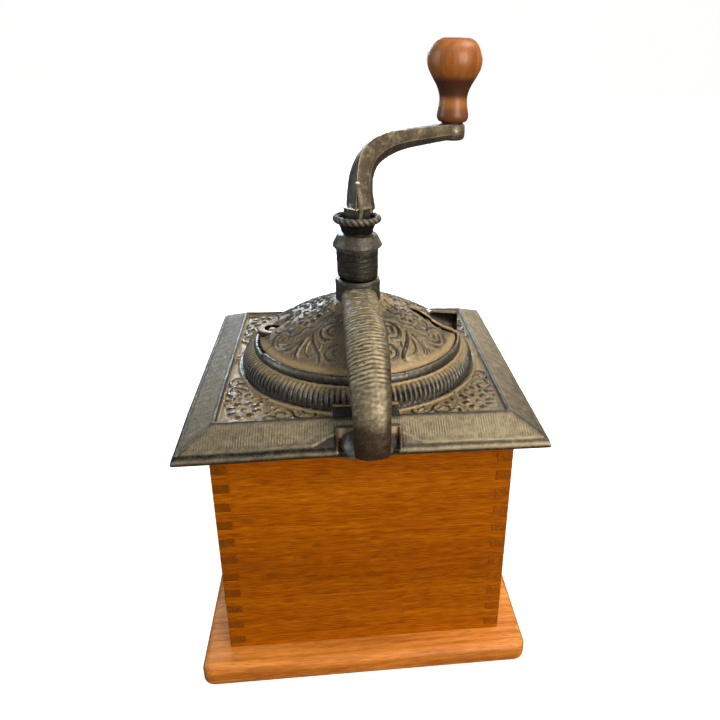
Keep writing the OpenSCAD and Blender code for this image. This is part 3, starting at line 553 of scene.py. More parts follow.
def plate_height(x, y):
    """Height, relief of the ornament, and where the panel, the lip and the handle's pad are."""
    ax, ay = np.abs(x), np.abs(y)
    diff = ax - ay
    m = np.minimum((ax + ay + np.sqrt(diff**2 + 0.3)) / 2, PLATE)
    e = PLATE - m
    end_sides = rise(ay - ax, 0.2, 1.2)
    near = np.abs(x - NOTCH_X)
    groove_at = 2.6 + end_sides * (y < 0) * 5.5 * rise(-near, -29, -16)
    z = SLOPE_Z + SLOPE * e
    z -= 0.5 * hump(e - groove_at, 0.42) + 0.22 * rise(-e, -groove_at, -groove_at + 0.4)
    z -= 1.9 * (1 - np.clip(e / 1.5, 0, 1)) ** 2.4
    ridges = np.sin(2 * math.pi * x / RIDGE_PITCH + 0.8 * wobble(x, y, 0, 30, 3))
    z += end_sides * (y != 0) * ridges * (0.13 + 0.07 * wobble(x, y, 0, 22, 5)) * rise_fall(e, 3.4, 4.6, 15, 16.2)
    z -= 0.45 * hump(np.abs(diff) / math.sqrt(2), 0.5) * rise_fall(m, 76, 77, 89, 90.5)
    bead = 158.7 + 1.05 * np.sqrt(np.clip(1 - ((m - BEAD_R) / BEAD_W) ** 2, 0, 1))
    z = np.where(m < BEAD_R + BEAD_W, np.maximum(bead, np.where(m > BEAD_R, z, 0)), z)
    panel = m < BEAD_R - 1.2
    z = np.where(panel, PANEL_Z - 0.35 * hump(m - 72.3, 0.7) + 0.1 * wobble(x, y, 0, 3.2, 14), z)
    mirrored = ax, -np.abs(y - 1.5 * (y > 0))
    h = emboss(*mirrored, corner_lines)
    halo = (1 - h) * emboss(*mirrored, corner_lines, 1.45)
    z = z + np.where(panel, 0.95 * h - 0.35 * halo, 0)
    # Two short bars link the ring with the bead on either side.
    bar = np.abs(np.abs(y - LINK_Y) - 1.9)
    link = panel & (ax > 66) & (np.abs(y - LINK_Y) < 3.1)
    z = np.where(link, PANEL_Z + 0.5 + 0.75 * np.sqrt(np.clip(1 - (bar / 1.15) ** 2, 0, 1)), z)
    pad = (np.abs(x - PAD_X) < PAD_W / 2) & (y < -55) & (m < BEAD_R + 0.6)
    z = np.where(pad, PAD_Z - 3.6 * np.clip((-y - 68.2) / 5.2, 0, 1), z)
    notch = (near < NOTCH_W / 2) & (y < NOTCH_Y)
    z = np.where(notch, np.minimum(z, NOTCH_Z + 0.02 * near), z)
    z = z + 0.06 * wobble(x, y, z, 9, 11) + 0.1 * wobble(x, y, z, 31, 12)
    return z - corner_sag(x, y), h - 0.9 * halo, panel, (e < groove_at) & ~notch, pad


def plate_lines(step):
    side = np.concatenate([PLATE - np.array([0, 0.12, 0.35, 0.7, 1.1, 1.5]), np.arange(PLATE - 2, BEAD_R + 2, -step)])
    reach = side[-1] - step
    return np.concatenate([-side, np.linspace(-reach, reach, int(2 * reach / step)), side[::-1]])


def plate_relief(x, y):
    """Heights with the maps of relief and rust: the lip, the notch and the ring's surroundings are toned; the notch's
    floor and the pad's front slope get painted shade, the border painted shading by face.
    """
    z, h, panel, lip, pad = plate_height(x, y)
    relief = np.clip((z - blur(z, 4)) / 0.35, -1.2, 1.2) * 0.6 + 0.9 * h
    beside_ring = rise(np.abs(x), 60, 63) * rise(-np.abs(y - 1), -30, -20)
    relief = np.where(panel, relief - 0.3 - 0.7 * beside_ring, relief)
    relief = np.where(lip, relief + 0.6 - 0.45 * rise(x, -20, 60), relief)
    # Painted shading by face: the right border is made darker, and the front border right of x = 20 lighter, than the
    # rest of the same border.
    border = BEAD_R + 1.5
    right_border = (x > np.abs(y)) & (x > border)
    relief = relief + 0.5 * right_border - 0.15 * ((y < -border) & (x > 20) & ~right_border)
    # Painted shade: the pad's front slope is set near black; its top is dusty tan.
    relief = np.where(pad, np.where(y < -68, 1.3, -1.2), relief)
    side = np.abs(x - NOTCH_X)
    wall = NOTCH_W / 2
    near_notch = (side < wall + 0.5) & (y < NOTCH_Y + 0.5)
    rust = near_notch * rise(side, wall - 1.6, wall - 0.3) * rise(y, -91, -86)
    far_wall = rise(y, NOTCH_Y - 1.4, NOTCH_Y - 0.6)
    # Painted shade on the notch's floor round the lug, lighter towards its side walls and its back wall; the rust is
    # the iron's own.
    relief = np.where(near_notch, 2.0 - 2.2 * rise(side, wall - 1.4, wall) - 2.6 * far_wall, relief)
    return z, relief, rust


def boundary_loops(quads):
    """Loops of vertex numbers round the open edges of a sheet of quads, each in the sheet's direction."""
    edges = set()
    for p, q in quads[:, [0, 1, 1, 2, 2, 3, 3, 0]].reshape(-1, 2).tolist():
        if (q, p) in edges:
            edges.remove((q, p))
        else:
            edges.add((p, q))
    follow = dict(edges)
    loops = []
    while follow:
        start, nxt = follow.popitem()
        loop = [start]
        while nxt != start:
            loop.append(nxt)
            nxt = follow.pop(nxt)
        loops.append(loop)
    return loops


def build_plate():
    xs, ys = plate_lines(GRID_X), plate_lines(GRID_Y)
    # Two grid lines close together make each side wall of the notch and the pad.
    for wall in (NOTCH_X - NOTCH_W / 2, NOTCH_X + NOTCH_W / 2, PAD_X - PAD_W / 2, PAD_X + PAD_W / 2):
        k = np.argmin(np.abs(xs - wall))
        way = -1 if wall < 0 else 1
        xs[k] = wall + way * 0.04
        xs[k - way] = wall - way * 0.12
    x, y = np.meshgrid(xs, ys, indexing="ij")
    z, relief, rust = plate_relief(x, y)
    keep = np.hypot(x, y) >= HOLE_R
    cell = keep[:-1, :-1] & keep[1:, :-1] & keep[:-1, 1:] & keep[1:, 1:]
    i, j = np.nonzero(cell)
    ny = y.shape[1]
    quads = np.stack([i * ny + j, (i + 1) * ny + j, (i + 1) * ny + j + 1, i * ny + j + 1], -1)
    used, quads = np.unique(quads, return_inverse=True)
    quads = quads.reshape(-1, 4)
    verts = np.stack([x, y, z], -1).reshape(-1, 3)[used]
    values, rust = relief.ravel()[used].tolist(), rust.ravel()[used].tolist()
    inner, outer = sorted(boundary_loops(quads), key=lambda loop: np.abs(verts[loop, :2]).max())[-2:]
    faces, verts = quads.tolist(), verts.tolist()

    def ring_below(loop, place):
        new = list(range(len(verts), len(verts) + len(loop)))
        verts.extend(place(verts[v]) for v in loop)
        values.extend([0.6] * len(loop))
        rust.extend([0] * len(loop))
        faces.extend(zip(loop[1:] + loop[:1], loop, new, new[1:] + new[:1]))
        return new

    def inset(v, amount, z):
        m = max(abs(v[0]), abs(v[1]))
        s = (m - amount) / m
        return [v[0] * s, v[1] * s, z]

    def lip_z(v, above=0.0):
        return LIP_Z + above - float(corner_sag(v[0], v[1]))

    low = ring_below(outer, lambda v: [v[0], v[1], min(v[2] - 0.25, lip_z(v, 1.2))])
    low = ring_below(low, lambda v: inset(v, 0.15, lip_z(v, 0.45)))
    low = ring_below(low, lambda v: inset(v, 0.7, lip_z(v)))
    low = ring_below(low, lambda v: inset(v, 3.2, lip_z(v)))
    low = ring_below(low, lambda v: inset(v, 0.05, PANEL_UNDER_Z))
    floor = ring_below(inner, lambda v: [v[0], v[1], PANEL_UNDER_Z])
    obj = piece("plate_casting", verts, faces, plate_iron, "top_plate", relief=values, rust=rust)
    bm = bmesh.new()
    bm.from_mesh(obj.data)
    bm.verts.ensure_lookup_table()
    rim = []
    for loop in (low, floor):
        rim += [bm.edges.get((bm.verts[a], bm.verts[b])) for a, b in zip(loop, loop[1:] + loop[:1])]
    bmesh.ops.triangle_fill(bm, use_beauty=True, edges=rim, normal=(0, 0, -1))
    bmesh.ops.recalc_face_normals(bm, faces=bm.faces)
    bm.to_mesh(obj.data)
    bm.free()
    obj.data.materials.append(border_iron)
    for face in obj.data.polygons:
        face.material_index = int(max(abs(face.center.x), abs(face.center.y)) / MM > BEAD_R - 1.2)


build_plate()


# ---------------------------------------------------------------- fluted ring
FLUTES, FLUTE_POINTS = 140, 8
FLUTE_R, FLUTE_W, FLUTE_H = 61.0, 6.5, 8.0


def build_ring():
    quarter = [(FLUTE_R + FLUTE_W * math.cos(t), 160.4 + FLUTE_H * math.sin(t)) for t in np.linspace(0, 1.5, 26)]
    foot = [(70.6, 157.2), (70.2, 158.0), (69.6, 158.55), (68.9, 158.7), (68.2, 158.4), (67.9, 158.2), (67.6, 158.6),
            (67.5, 159.4)]
    bead = [(61.0, 168.7), (60.7, 169.05), (60.2, 169.15), (60.3, 169.7), (60.6, 170.5), (60.45, 171.4),
            (59.9, 172.1), (59.1, 172.5), (58.2, 172.35), (57.5, 171.6)]
    profile = np.array(foot + quarter + bead + [(57.2, 171.2), (54.2, 171.2), (54.2, 153.6), (70.6, 153.6)])
    height = profile[:, 1]
    first, last = len(foot), len(foot) + len(quarter)
    along = np.zeros(len(profile))
    along[first:last] = np.sin(np.linspace(0.12, math.pi - 0.1, len(quarter))) ** 0.35
    count = FLUTES * FLUTE_POINTS
    a = round_turn(count)
    wave = np.abs(np.sin(a * FLUTES / 2)) ** 0.75
    uneven = 1 + 0.25 * np.sin(a * 5 + 1) * np.sin(a * 3)
    depth = 1.25 * (1 - wave)[None, :] * along[:, None] * uneven[None, :]
    away = unit(profile - np.array([FLUTE_R - 1, 161.0]))
    p = profile[:, None, :] - away[:, None, :] * depth[:, :, None]
    # The bead stands higher along the fixed half of the dome than under the lid.
    fixed = rise_fall(np.degrees(a), 204, 207, 351, 355)
    lift = rise(height, 169.5, 172.3) * (profile[:, 0] > 57.4)
    p[..., 1] += 1.3 * lift[:, None] * fixed[None]
    p[..., 0] -= 0.55 * lift[:, None] * fixed[None]
    verts = np.stack([*polar(p[..., 0], a), p[..., 1]], -1)
    rough = 0.1 * wobble_at(verts, 3.1, 33)
    crumbs = 0.14 * wobble_at(verts, 1.7, 34) * rise(height, 169.2, 170)[:, None]
    verts[..., 2] += (rough + crumbs) * (height > 156)[:, None]
    shade = np.zeros(len(profile))
    # The foot runs from a dusty golden outer edge over a brownish-grey band to a crease painted dark as shade.
    shade[:first] = [-1.1, -1.1, -0.3, 0.2, 0.3, 1.2, 1.4, 0.6]
    shade[first:last] = 0.4
    # The bead's crease and the seam between bead and dome are painted dark as shade, the seam darkest.
    shade[last : last + len(bead)] = [-1.0, -1.3, 0.9, 1.2, 0.5, 0.35, 0.45, 0.75, 1.3, 2.4]
    upper = (rise(height, 165, 168.2) * (height < 169))[:, None]
    # Painted shade: the gaps between the flutes are dark, darkest low down and lighter near their tops.
    relief = shade[:, None] - 0.9 * upper + (2.3 - 1.2 * upper) * (1 - wave)[None, :] ** 1.2 * along[:, None]
    relief = relief - 1.4 * crumbs + 0.25 * wobble_at(verts, 2.4, 35)
    faces = tube_faces(len(profile), count, closed=True, flip=True)
    piece("ring_fluted", verts, faces, plate_iron, "top_plate", relief=relief)


build_ring()

# ---------------------------------------------------------------- dome and lid
DOME_R, DOME_T = 57.0, 3.0
LID_IN_R, LID_GAP = 20.3, 0.55
UNDER = 172.9
LOBE_Y, LOBE_R = -22.3, 29.7
FREE_EDGE = smooth_curve([(20, 0), (28, 0), (36, -3.4), (43, -6.6), (48, -7.2), (53, -5), (57.2, -2.4), (62, -0.5)])
EDGE_R, EDGE_TURN = np.hypot(FREE_EDGE[:, 0], FREE_EDGE[:, 1]), np.arctan2(FREE_EDGE[:, 1], FREE_EDGE[:, 0])
EAR_R, EAR_TOP, EAR_UNDER = 8.6, 178.2, 174.8
RECESS_R = 5.0
dome_r_line = np.linspace(0, 62, 311)
dome_z_line = np.interp(
    dome_r_line,
    [0, 12.7, 18, 26, 35, 45, 52, 54, 55.5, 56.5, 57.0, 62],
    [197, 196.2, 193.8, 190.6, 186.9, 181.5, 177.3, 176.0, 175.0, 174.2, 173.4, 172],
)
soft = np.convolve(np.pad(dome_z_line, 8, mode="edge"), np.ones(17) / 17, "valid")
dome_z_line = np.where(dome_r_line < 51, soft, dome_z_line)


def dome_z(r):
    return np.interp(r, dome_r_line, dome_z_line)


def edge_turn(r):
    """Angle of the lid's free edge at each radius."""
    return np.interp(r, EDGE_R, EDGE_TURN)


def dome_height(x, y, on_lid):
    """Height and relief of the ornamented dome, with the ear's recess and the tab's scoop on the lid."""
    r, ax = np.hypot(x, y), np.abs(x)
    z = dome_z(r)
    seam = r * (np.arctan2(y, x) - edge_turn(r))
    area = rise_fall(r, 14, 15.5, 52.5, 54) * np.where(x > 0, rise(np.abs(seam), 1.6, 3.2), 1)
    h = np.maximum(emboss(ax, -np.abs(y), dome_lines), emboss(ax, y, back_lines)) * area
    halo = (1 - h) * emboss(ax, -np.abs(y), dome_lines, 1.6) * area
    z = z + 0.9 * h - 0.3 * halo + 0.09 * wobble(x, y, z, 3.4, 23)
    relief = 1.3 * h - 1.1 * halo - 0.75 * rise(r, 53, 56) - 0.15 + 0.3 * rise(-r, -38, -26)
    if on_lid:
        px, py = x - PIVOT[0], y - PIVOT[1]
        d = np.hypot(px, py)
        in_ear, in_recess = d < EAR_R, d < RECESS_R
        floor = np.where(in_recess, EAR_TOP - 2.7, EAR_TOP - 0.3 + 5.6 * rise(d, 5.2, 8.4))
        z = np.where(in_ear, np.minimum(z, floor), z)
        along = np.clip(((px - 5.6) * 0.945 + (py + 2.2) * 0.329) / 5.4, 0, 1)
        slot = np.hypot(px - 5.6 - 5.1 * along, py + 2.2 - 1.8 * along) < 2.1
        z = np.where(slot, np.minimum(z, EAR_TOP + 0.4), z)
        # Painted light and shade: the ear's recess is near black; the slot's outer half is light as the lit part of
        # its slope and its inner half near black as shade.
        relief = np.where(in_ear, np.where(in_recess, 2.8, -0.6), relief)
        relief = np.where(slot, np.where(along < 0.5, -1.5, 2.8), relief)
        scoop = rise_fall(r, 43, 44.2, 57, 58) * rise(seam, 1.0, 2.4) * rise(-y, -6, -4.6) * (x > 0)
        z = np.maximum(z - 3.2 * scoop, UNDER + 0.5)
        # Painted shade: the tab's scoop is darkened to near black.
        relief = relief + 3 * scoop
    return z + 0.06 * wobble(x, y, z, 8, 21) + 0.12 * wobble(x, y, z, 27, 22), relief


def left_seam(r):
    """Angle of the lid's seam on the pivot side at each radius: a lobe round the pivot, then straight."""
    turn = np.linspace(math.pi, math.pi * 1.25, 181)
    x, y = polar(r[:, None], turn)
    lobe = (y >= LOBE_Y) & (np.hypot(x - PIVOT[0], y - PIVOT[1]) <= LOBE_R)
    on_lid = (lobe | (x > PIVOT[0] + LOBE_R) & (y > -0.2)) & (r[:, None] > LID_IN_R + 0.01)
    best = np.where(on_lid, turn, math.pi).max(axis=1)
    return np.convolve(np.pad(best, 2, mode="edge"), np.ones(5) / 5, "valid")


def dome_part(name, r, start, stop, node, step=6):
    """Shell between two lines of angles. The underside has only every step-th column."""
    on_lid = node == "lid"
    count = int((stop - start).max() * 50 / 0.5 / step) * step + 1
    ang = start[:, None] + (stop - start)[:, None] * np.linspace(0, 1, count)[None]
    x, y = polar(r[:, None], ang)
    z, relief = dome_height(x, y, on_lid)
    # Beside the thumb tab the lid's edge curls up and is painted lighter as lit; the fixed edge below it is lowered
    # and painted dark, darkest at its edge, as the shadow under the lid's lip.
    far = rise(r, 27, 38)
    if on_lid:
        curl = hump(r[:, None] * (ang - start[:, None]), 2.4) * far[:, None]
        z, relief = z + 1.3 * curl, relief - 1.0 * curl
        # The free edge overhangs: its second column is the lip and its first one lies beneath it, painted dark as the
        # shadow under the lip.
        x[:, 1], y[:, 1], z[:, 1], relief[:, 1] = x[:, 0], y[:, 0], z[:, 0], relief[:, 0]
        x[:, 0], y[:, 0] = polar(r, start + 0.9 * far / r)
        z[:, 0] = z[:, 1] - 1.3 * far
        relief[:, 0] = 2.8 * far + (1 - far) * relief[:, 1]
    else:
        from_edge = r[:, None] * (stop[:, None] - ang)
        sunk_and_shaded = hump(from_edge, 1.9) * far[:, None]
        black = hump(from_edge, 1.5, 4) * rise(r, 30, 40)[:, None]
        z, relief = z - 1.7 * sunk_and_shaded, relief + 0.5 * sunk_and_shaded + 2.8 * black
    outer = np.stack([x, y, z], -1)
    lower = np.maximum(UNDER, np.minimum(dome_z(r)[:, None], z[:, ::step]) - DOME_T + 0.6)
    lower[-1] = UNDER
    verts, faces = closed_shell(outer, np.stack([x[:, ::step], y[:, ::step], lower], -1), step)
    lower_relief = np.full(lower.shape, -0.3)
    # Painted shade: the underside beneath the lid's free edge is near black.
    lower_relief[:, 0] += 3.0 * far * on_lid
    values = np.concatenate([relief.ravel(), lower_relief.ravel()])
    piece(name, verts, [f[::-1] for f in faces], plate_iron, node, relief=values)


def build_dome():
    rim = [56.5, 56.75, 56.9, 57.0, 57.02]
    radii = np.concatenate([LID_IN_R + (DOME_R - LID_IN_R - 0.8) * np.linspace(0, 1, 92) ** 1.35, rim])
    seam_l = left_seam(radii)
    seam_r = edge_turn(radii) + 0.3 * np.sin((radii - 20) / 7) / radii
    gap = LID_GAP / radii
    dome_part("dome_front", radii, seam_l + gap, seam_r - gap + 2 * math.pi, "top_plate")
    dome_part("lid_shell", radii, seam_r + gap * 0.3, seam_l - gap * 0.3, "lid")


def build_neck_root():
    r, count = np.linspace(12.0, LID_IN_R, 34), 240
    ang = round_turn(count)
    x, y = polar(r[:, None], ang)
    z, relief = dome_height(x, y, False)
    inside = lathe([(20.1, 190.2), (9.1, 186.5), (9.1, 196.2)], count)
    verts = np.concatenate([np.stack([x, y, z], -1), inside])
    values = np.concatenate([relief - 0.75, np.full((3, count), 0.5)])
    piece("neck_root", verts, tube_faces(len(verts), count, closed=True), plate_iron, "top_plate", relief=values)


def build_ear():
    rim = [(EAR_R - 0.9, EAR_UNDER), (EAR_R - 0.2, EAR_UNDER + 0.5), (EAR_R, EAR_UNDER + 1.4),
           (EAR_R - 0.2, EAR_TOP - 0.4), (EAR_R - 0.9, EAR_TOP)]
    recess = [(RECESS_R, EAR_TOP), (4.6, EAR_TOP - 0.25), (4.5, EAR_TOP - 2.6), (2.7, EAR_TOP - 2.6)]
    profile = [(2.7, EAR_UNDER), *rim, *recess]
    # Painted shade: the ear's underside and the walls and floor of its recess are near black; its top is dusty golden.
    shade = range(len(profile)), [2.6, 2.6, 2.0, 0.7, 0.5, -0.7, -0.9, 1.0, 2.8, 2.6]
    build_turned("lid_ear", profile, 72, plate_iron, "lid", centre=PIVOT, shade=shade, sharp=50)


def build_rivet():
    profile = [(2.55, rivet_low[2] + 0.2)]
    head = [(2.55, 2.9), (2.5, 1.6), (2.2, 0.9), (1.6, 0.5), (0.8, 0.34), (0.02, 0.31)]
    profile += [(r, EAR_TOP - down) for r, down in head]
    piece("rivet_domed", lathe(profile, 40, PIVOT), tube_faces(len(profile), 40), rivet_iron, "lid_rivet")


def build_tab():
    """Thumb tab: a hollow pocket behind the lid's curled free edge, with a raised rim at its back."""
    rows = []
    first, last = 42.8, 58.9
    yb = 4.4
    for r in np.linspace(first, last, 34):
        out = (r - first) / (last - first)
        ease, end = float(rise(out, 0.0, 0.1)), float(rise(out, 0.92, 1.0))
        base = max(float(dome_z(r)), 173.0)
        top = base + 1 + (185.0 - 1.3 * out - base - 1) * ease
        floor = (base + 0.9) * (1 - ease) + (base - 2.2) * ease
        floor = max(floor + (top - 0.3 - floor) * end, 173.2)
        y0 = r * float(edge_turn(r))
        section = [
            (y0 + 0.4, base - 0.2), (y0 - 0.5, base + 0.1), (y0 - 0.8, base + 0.8), (y0 - 0.3, base + 1.5),
            (y0 + 0.6, base + 1.6), (y0 + 1.5, base + 0.8), (y0 + 2.4, floor + 0.3), (yb - 1.2, floor),
            (yb - 0.3, floor + 0.6), (yb, (floor + top) / 2), (yb - 0.5, top - 1.0), (yb - 0.8, top - 0.4),
            (yb - 0.1, top + 0.05), (yb + 1.4, top), (yb + 4.6, max(top - 1.0, base + 0.8)),
            (yb + 8, base + 0.45 * (top - base)), (yb + 11.5, base + 0.2), (yb + 10.5, base - 0.4),
            (y0 + 2, max(floor - 0.5, 172.95)),
        ]
        rows.append([(*polar(r, t / r), z) for t, z in section])
    # Painted light and shade: the curled lip is dusty golden, lighter as lit, and the pocket behind it is near black
    # as shade.
    shade = [-0.4, -0.9, -1.1, -1.1, -0.6, 0.9, 2.8, 3, 3, 3, 2.4, -0.5, 0.3, 0, 0, 0, -0.1, 0, 0]
    faces = tube_faces(len(rows), len(shade), flip=True)
    piece("lid_tab", rows, faces, plate_iron, "lid", sharp=60, relief=[shade] * len(rows))


build_dome()
build_neck_root()
build_ear()
build_rivet()
build_tab()

# ---------------------------------------------------------------- grip handle
STRAP_LINE = np.array([(10, 205.5), (60, 205), (98.5, 195), (98.2, 148.6)])
STRAP_W, STRAP_T, HANDLE_YAW = 22.0, 8.0, 1.8
STRAP_ROWS, STRAP_SIDES = 440, 64
STRAP_TOP = 0.75
RIB_PITCH, RIB_JOIN = 2.45, 0.22


def bezier(p, t):
    t = t[:, None]
    return (1 - t) ** 3 * p[0] + 3 * (1 - t) ** 2 * t * p[1] + 3 * (1 - t) * t**2 * p[2] + t**3 * p[3]


def build_strap():
    s = distance_along(bezier(STRAP_LINE, np.linspace(0, 1, 2001)))
    at = np.linspace(0, s[-1], STRAP_ROWS)
    t = np.interp(at, s, np.linspace(0, 1, 2001))
    c = bezier(STRAP_LINE, t)
    n = normals(c)
    half = STRAP_W * (0.9 + 0.1 * np.sin(math.pi * np.minimum(1, t * 1.2)) - 0.09 * t * t) / 2
    at, t, half = at[:, None], t[:, None], half[:, None]
    a = (np.arange(STRAP_SIDES) + 0.5) / STRAP_SIDES * 2 * math.pi
    bulge = np.abs(np.sin(a))
    up = (np.sin(a) > 0)[None]
    across = half * np.cos(a)[None]
    depth = np.where(up, bulge**0.8 * STRAP_TOP, (1 - STRAP_TOP) * np.sin(a)) * STRAP_T - STRAP_T * STRAP_TOP
    # Two families of ribs meet along a join to the right of the middle.
    middle = across / half
    off = RIB_JOIN - middle
    phase = at / RIB_PITCH - np.where(off > 0, 0.95 * np.abs(off) ** 1.3, 0.5 * np.abs(off))
    phase = phase - 0.7 * rise(-t, -0.35, 0.0) * middle**2 + 0.08 * wobble(across, at, 0, 14, 41)
    wave = np.abs(np.sin(math.pi * phase)) ** 0.8
    fade = rise(-t, -0.74, -0.62) * rise(at, 0.2, 2)
    patchy = np.clip(1 + 0.45 * wobble(across, at, 0, 8, 44), 0.25, 1.5) * (1 - 0.5 * rise(middle, 0.3, 0.8))
    amount = fade * up * (bulge**0.5)[None] * (1 - 0.65 * hump(off, 0.1)) * patchy
    calm = 1 - 0.75 * rise(t, 0.76, 0.88)
    lumps = 0.13 * calm * wobble(across, at, 0, 2.3, 45) + 0.1 * wobble(across, at, 0, 6, 42)
    lumps = lumps + 0.15 * wobble(across, at, 0, 23, 43)
    depth = depth + 0.6 * (wave - 1) * amount + lumps * up
    x, y = across, -(c[:, :1] + n[:, :1] * depth)
    cos, sin = math.cos(math.radians(HANDLE_YAW)), math.sin(math.radians(HANDLE_YAW))
    verts = np.stack([x * cos - y * sin, x * sin + y * cos, c[:, 1:] + n[:, 1:] * depth], -1)
    # Painted light and shade: rib crests are light as highlights and grooves dark as shade, and the right edge is
    # darker as shade; the strap also darkens towards its foot and its left edge.
    relief = (2 * wave - 1.25) * amount - 1.5 * rise(t, 0.8, 0.93) + 0.15
    relief = relief - 0.8 * rise(middle, 0.5, 1.0) - 0.4 * rise(-middle, 0.8, 1.0)
    relief = relief + 0.3 * calm * wobble(across, at, 0, 3.3, 46)
    faces = tube_faces(STRAP_ROWS, STRAP_SIDES)
    piece("handle_strap", verts, faces, strap_iron, "handle_casting", relief=relief)


def hammered(r, z, a):
    """Turning marks and dents of the collar and the sleeve, outside their bores."""
    x, y = polar(r, a)
    out = 0.09 * wobble(x * 0.2, y * 0.2, z * 1.7, 2.2, 51) + 0.08 * wobble(x, y, z, 2.1, 53)
    return np.where(r > 10.5, out + 0.16 * wobble(x, y, z, 12, 52), 0)


def chipped(r, z, a):
    chip = hump(a - 3.55, 0.42) * rise(-z, -210.6, -209.0)
    return hammered(r, z, a) - np.where(r > 10, 1.3 * chip, 0)


def build_neck():
    collar = rows_between([(12.9, 195.2), (12.75, 197), (12.6, 203), (12.7, 206.6), (12.4, 207.8), (11.6, 208.3)], 0.5)
    collar += [(9.2, 208.2), (9.2, 195.2)]
    build_turned("handle_collar", collar, 128, neck_iron, "handle_casting", hammered,
                 shade=([0, 20, 40], [-0.25, -0.3, -0.5]))
    sleeve = rows_between(
        [(10.5, 208.5), (11.2, 209.4), (11.55, 214), (11.75, 224), (11.9, 226.3), (13.2, 226.5), (13.75, 227.2),
         (13.55, 228.2), (12.2, 231), (10.8, 233.5), (10.2, 234.15)], 0.45)
    sleeve += [(6.1, 234.15), (6.1, 225), (9.1, 225), (9.1, 208.5)]
    # The sleeve's lowest rows are painted dark as the shade in the gap above the collar.
    build_turned("sleeve_turned", sleeve, 128, neck_iron, "neck_sleeve", chipped, sharp=50,
                 shade=([0, 2, 8, 34, 38, 44, 60], [1.2, 0.3, 0.0, 0.1, -0.75, -0.6, -0.4]))


def build_foot():
    """Half-round lug behind the strap's foot."""
    rows = []
    z0, arc, lug_r = NOTCH_Z - 1.5, 40, 15.0
    for y, s in [(-81.7, 0.96), (-82.3, 1.0), (-84, 1.0), (-86, 0.97), (-88, 0.93), (-90, 0.87), (-91.6, 0.8),
                 (-93, 0.7), (-94.2, 0.56), (-94.9, 0.36)]:
        r = lug_r * s
        turns = np.linspace(0.08, math.pi - 0.08, arc)
        row = [(NOTCH_X + r * math.cos(t), y, z0 + 9.4 * s**0.7 * math.sin(t)) for t in turns]
        rows.append(row + [(NOTCH_X - r * 0.96, y, z0), (NOTCH_X + r * 0.96, y, z0)])
    verts = np.array(rows)
    verts[:, :arc, 1:] += 0.3 * wobble_at(verts, 2.2, 57)[:, :arc, None]
    piece("handle_lug", verts, tube_faces(len(rows), arc + 2), foot_iron, "handle_casting", sharp=50)


build_strap()
build_neck()
build_foot()


# ---------------------------------------------------------------- adjusting nut
def build_nut():
    cup = rows_between(
        [(5.1, 234.6), (8.2, 234.5), (8.8, 234.9), (9.1, 236.6), (10.2, 239.2), (11.8, 241.2), (11.9, 242.6),
         (10.6, 242.8), (9.6, 241.2), (8.4, 238.6), (7.8, 237.7), (5.1, 237.6), (5.1, 234.6)], 0.6)
    # Painted shade: the cup under the rope rim is dark throughout.
    build_turned("nut_cup", cup, 96, neck_iron, "adjusting_nut",
                 lambda r, z, a: 0.08 * wobble(*polar(r, a), z, 5, 61), shade=([0, 10], [0.9, 0.9]))
    count, sides, strands = 288, 20, 24
    a, p = round_turn(count)[:, None], round_turn(sides)[None]
    wave = np.abs(np.sin(strands / 2 * a + 1.0 * p))
    tube = 1.45 + 0.55 * wave**0.7
    r = 11.7 + tube * np.cos(p) * 0.95
    verts = np.stack([*polar(r, a), 242.1 + tube * np.sin(p)], -1)
    faces = tube_faces(count, sides, closed=True, flip=True)
    # Painted light and shade: the rope's strands are light as lit and the gaps between them dark as shade.
    piece("nut_rope_rim", verts, faces, neck_iron, "adjusting_nut", relief=-2.2 * (wave**0.6 - 0.45))


build_nut()


# ---------------------------------------------------------------- crank
def in_crank_plane(s, b, z):
    """Point at distance s along the crank, b across it (towards the handle side) and height z."""
    c, n = math.cos(CRANK_ANGLE), math.sin(CRANK_ANGLE)
    return np.stack([s * c + b * n, s * n - b * c, z], -1)


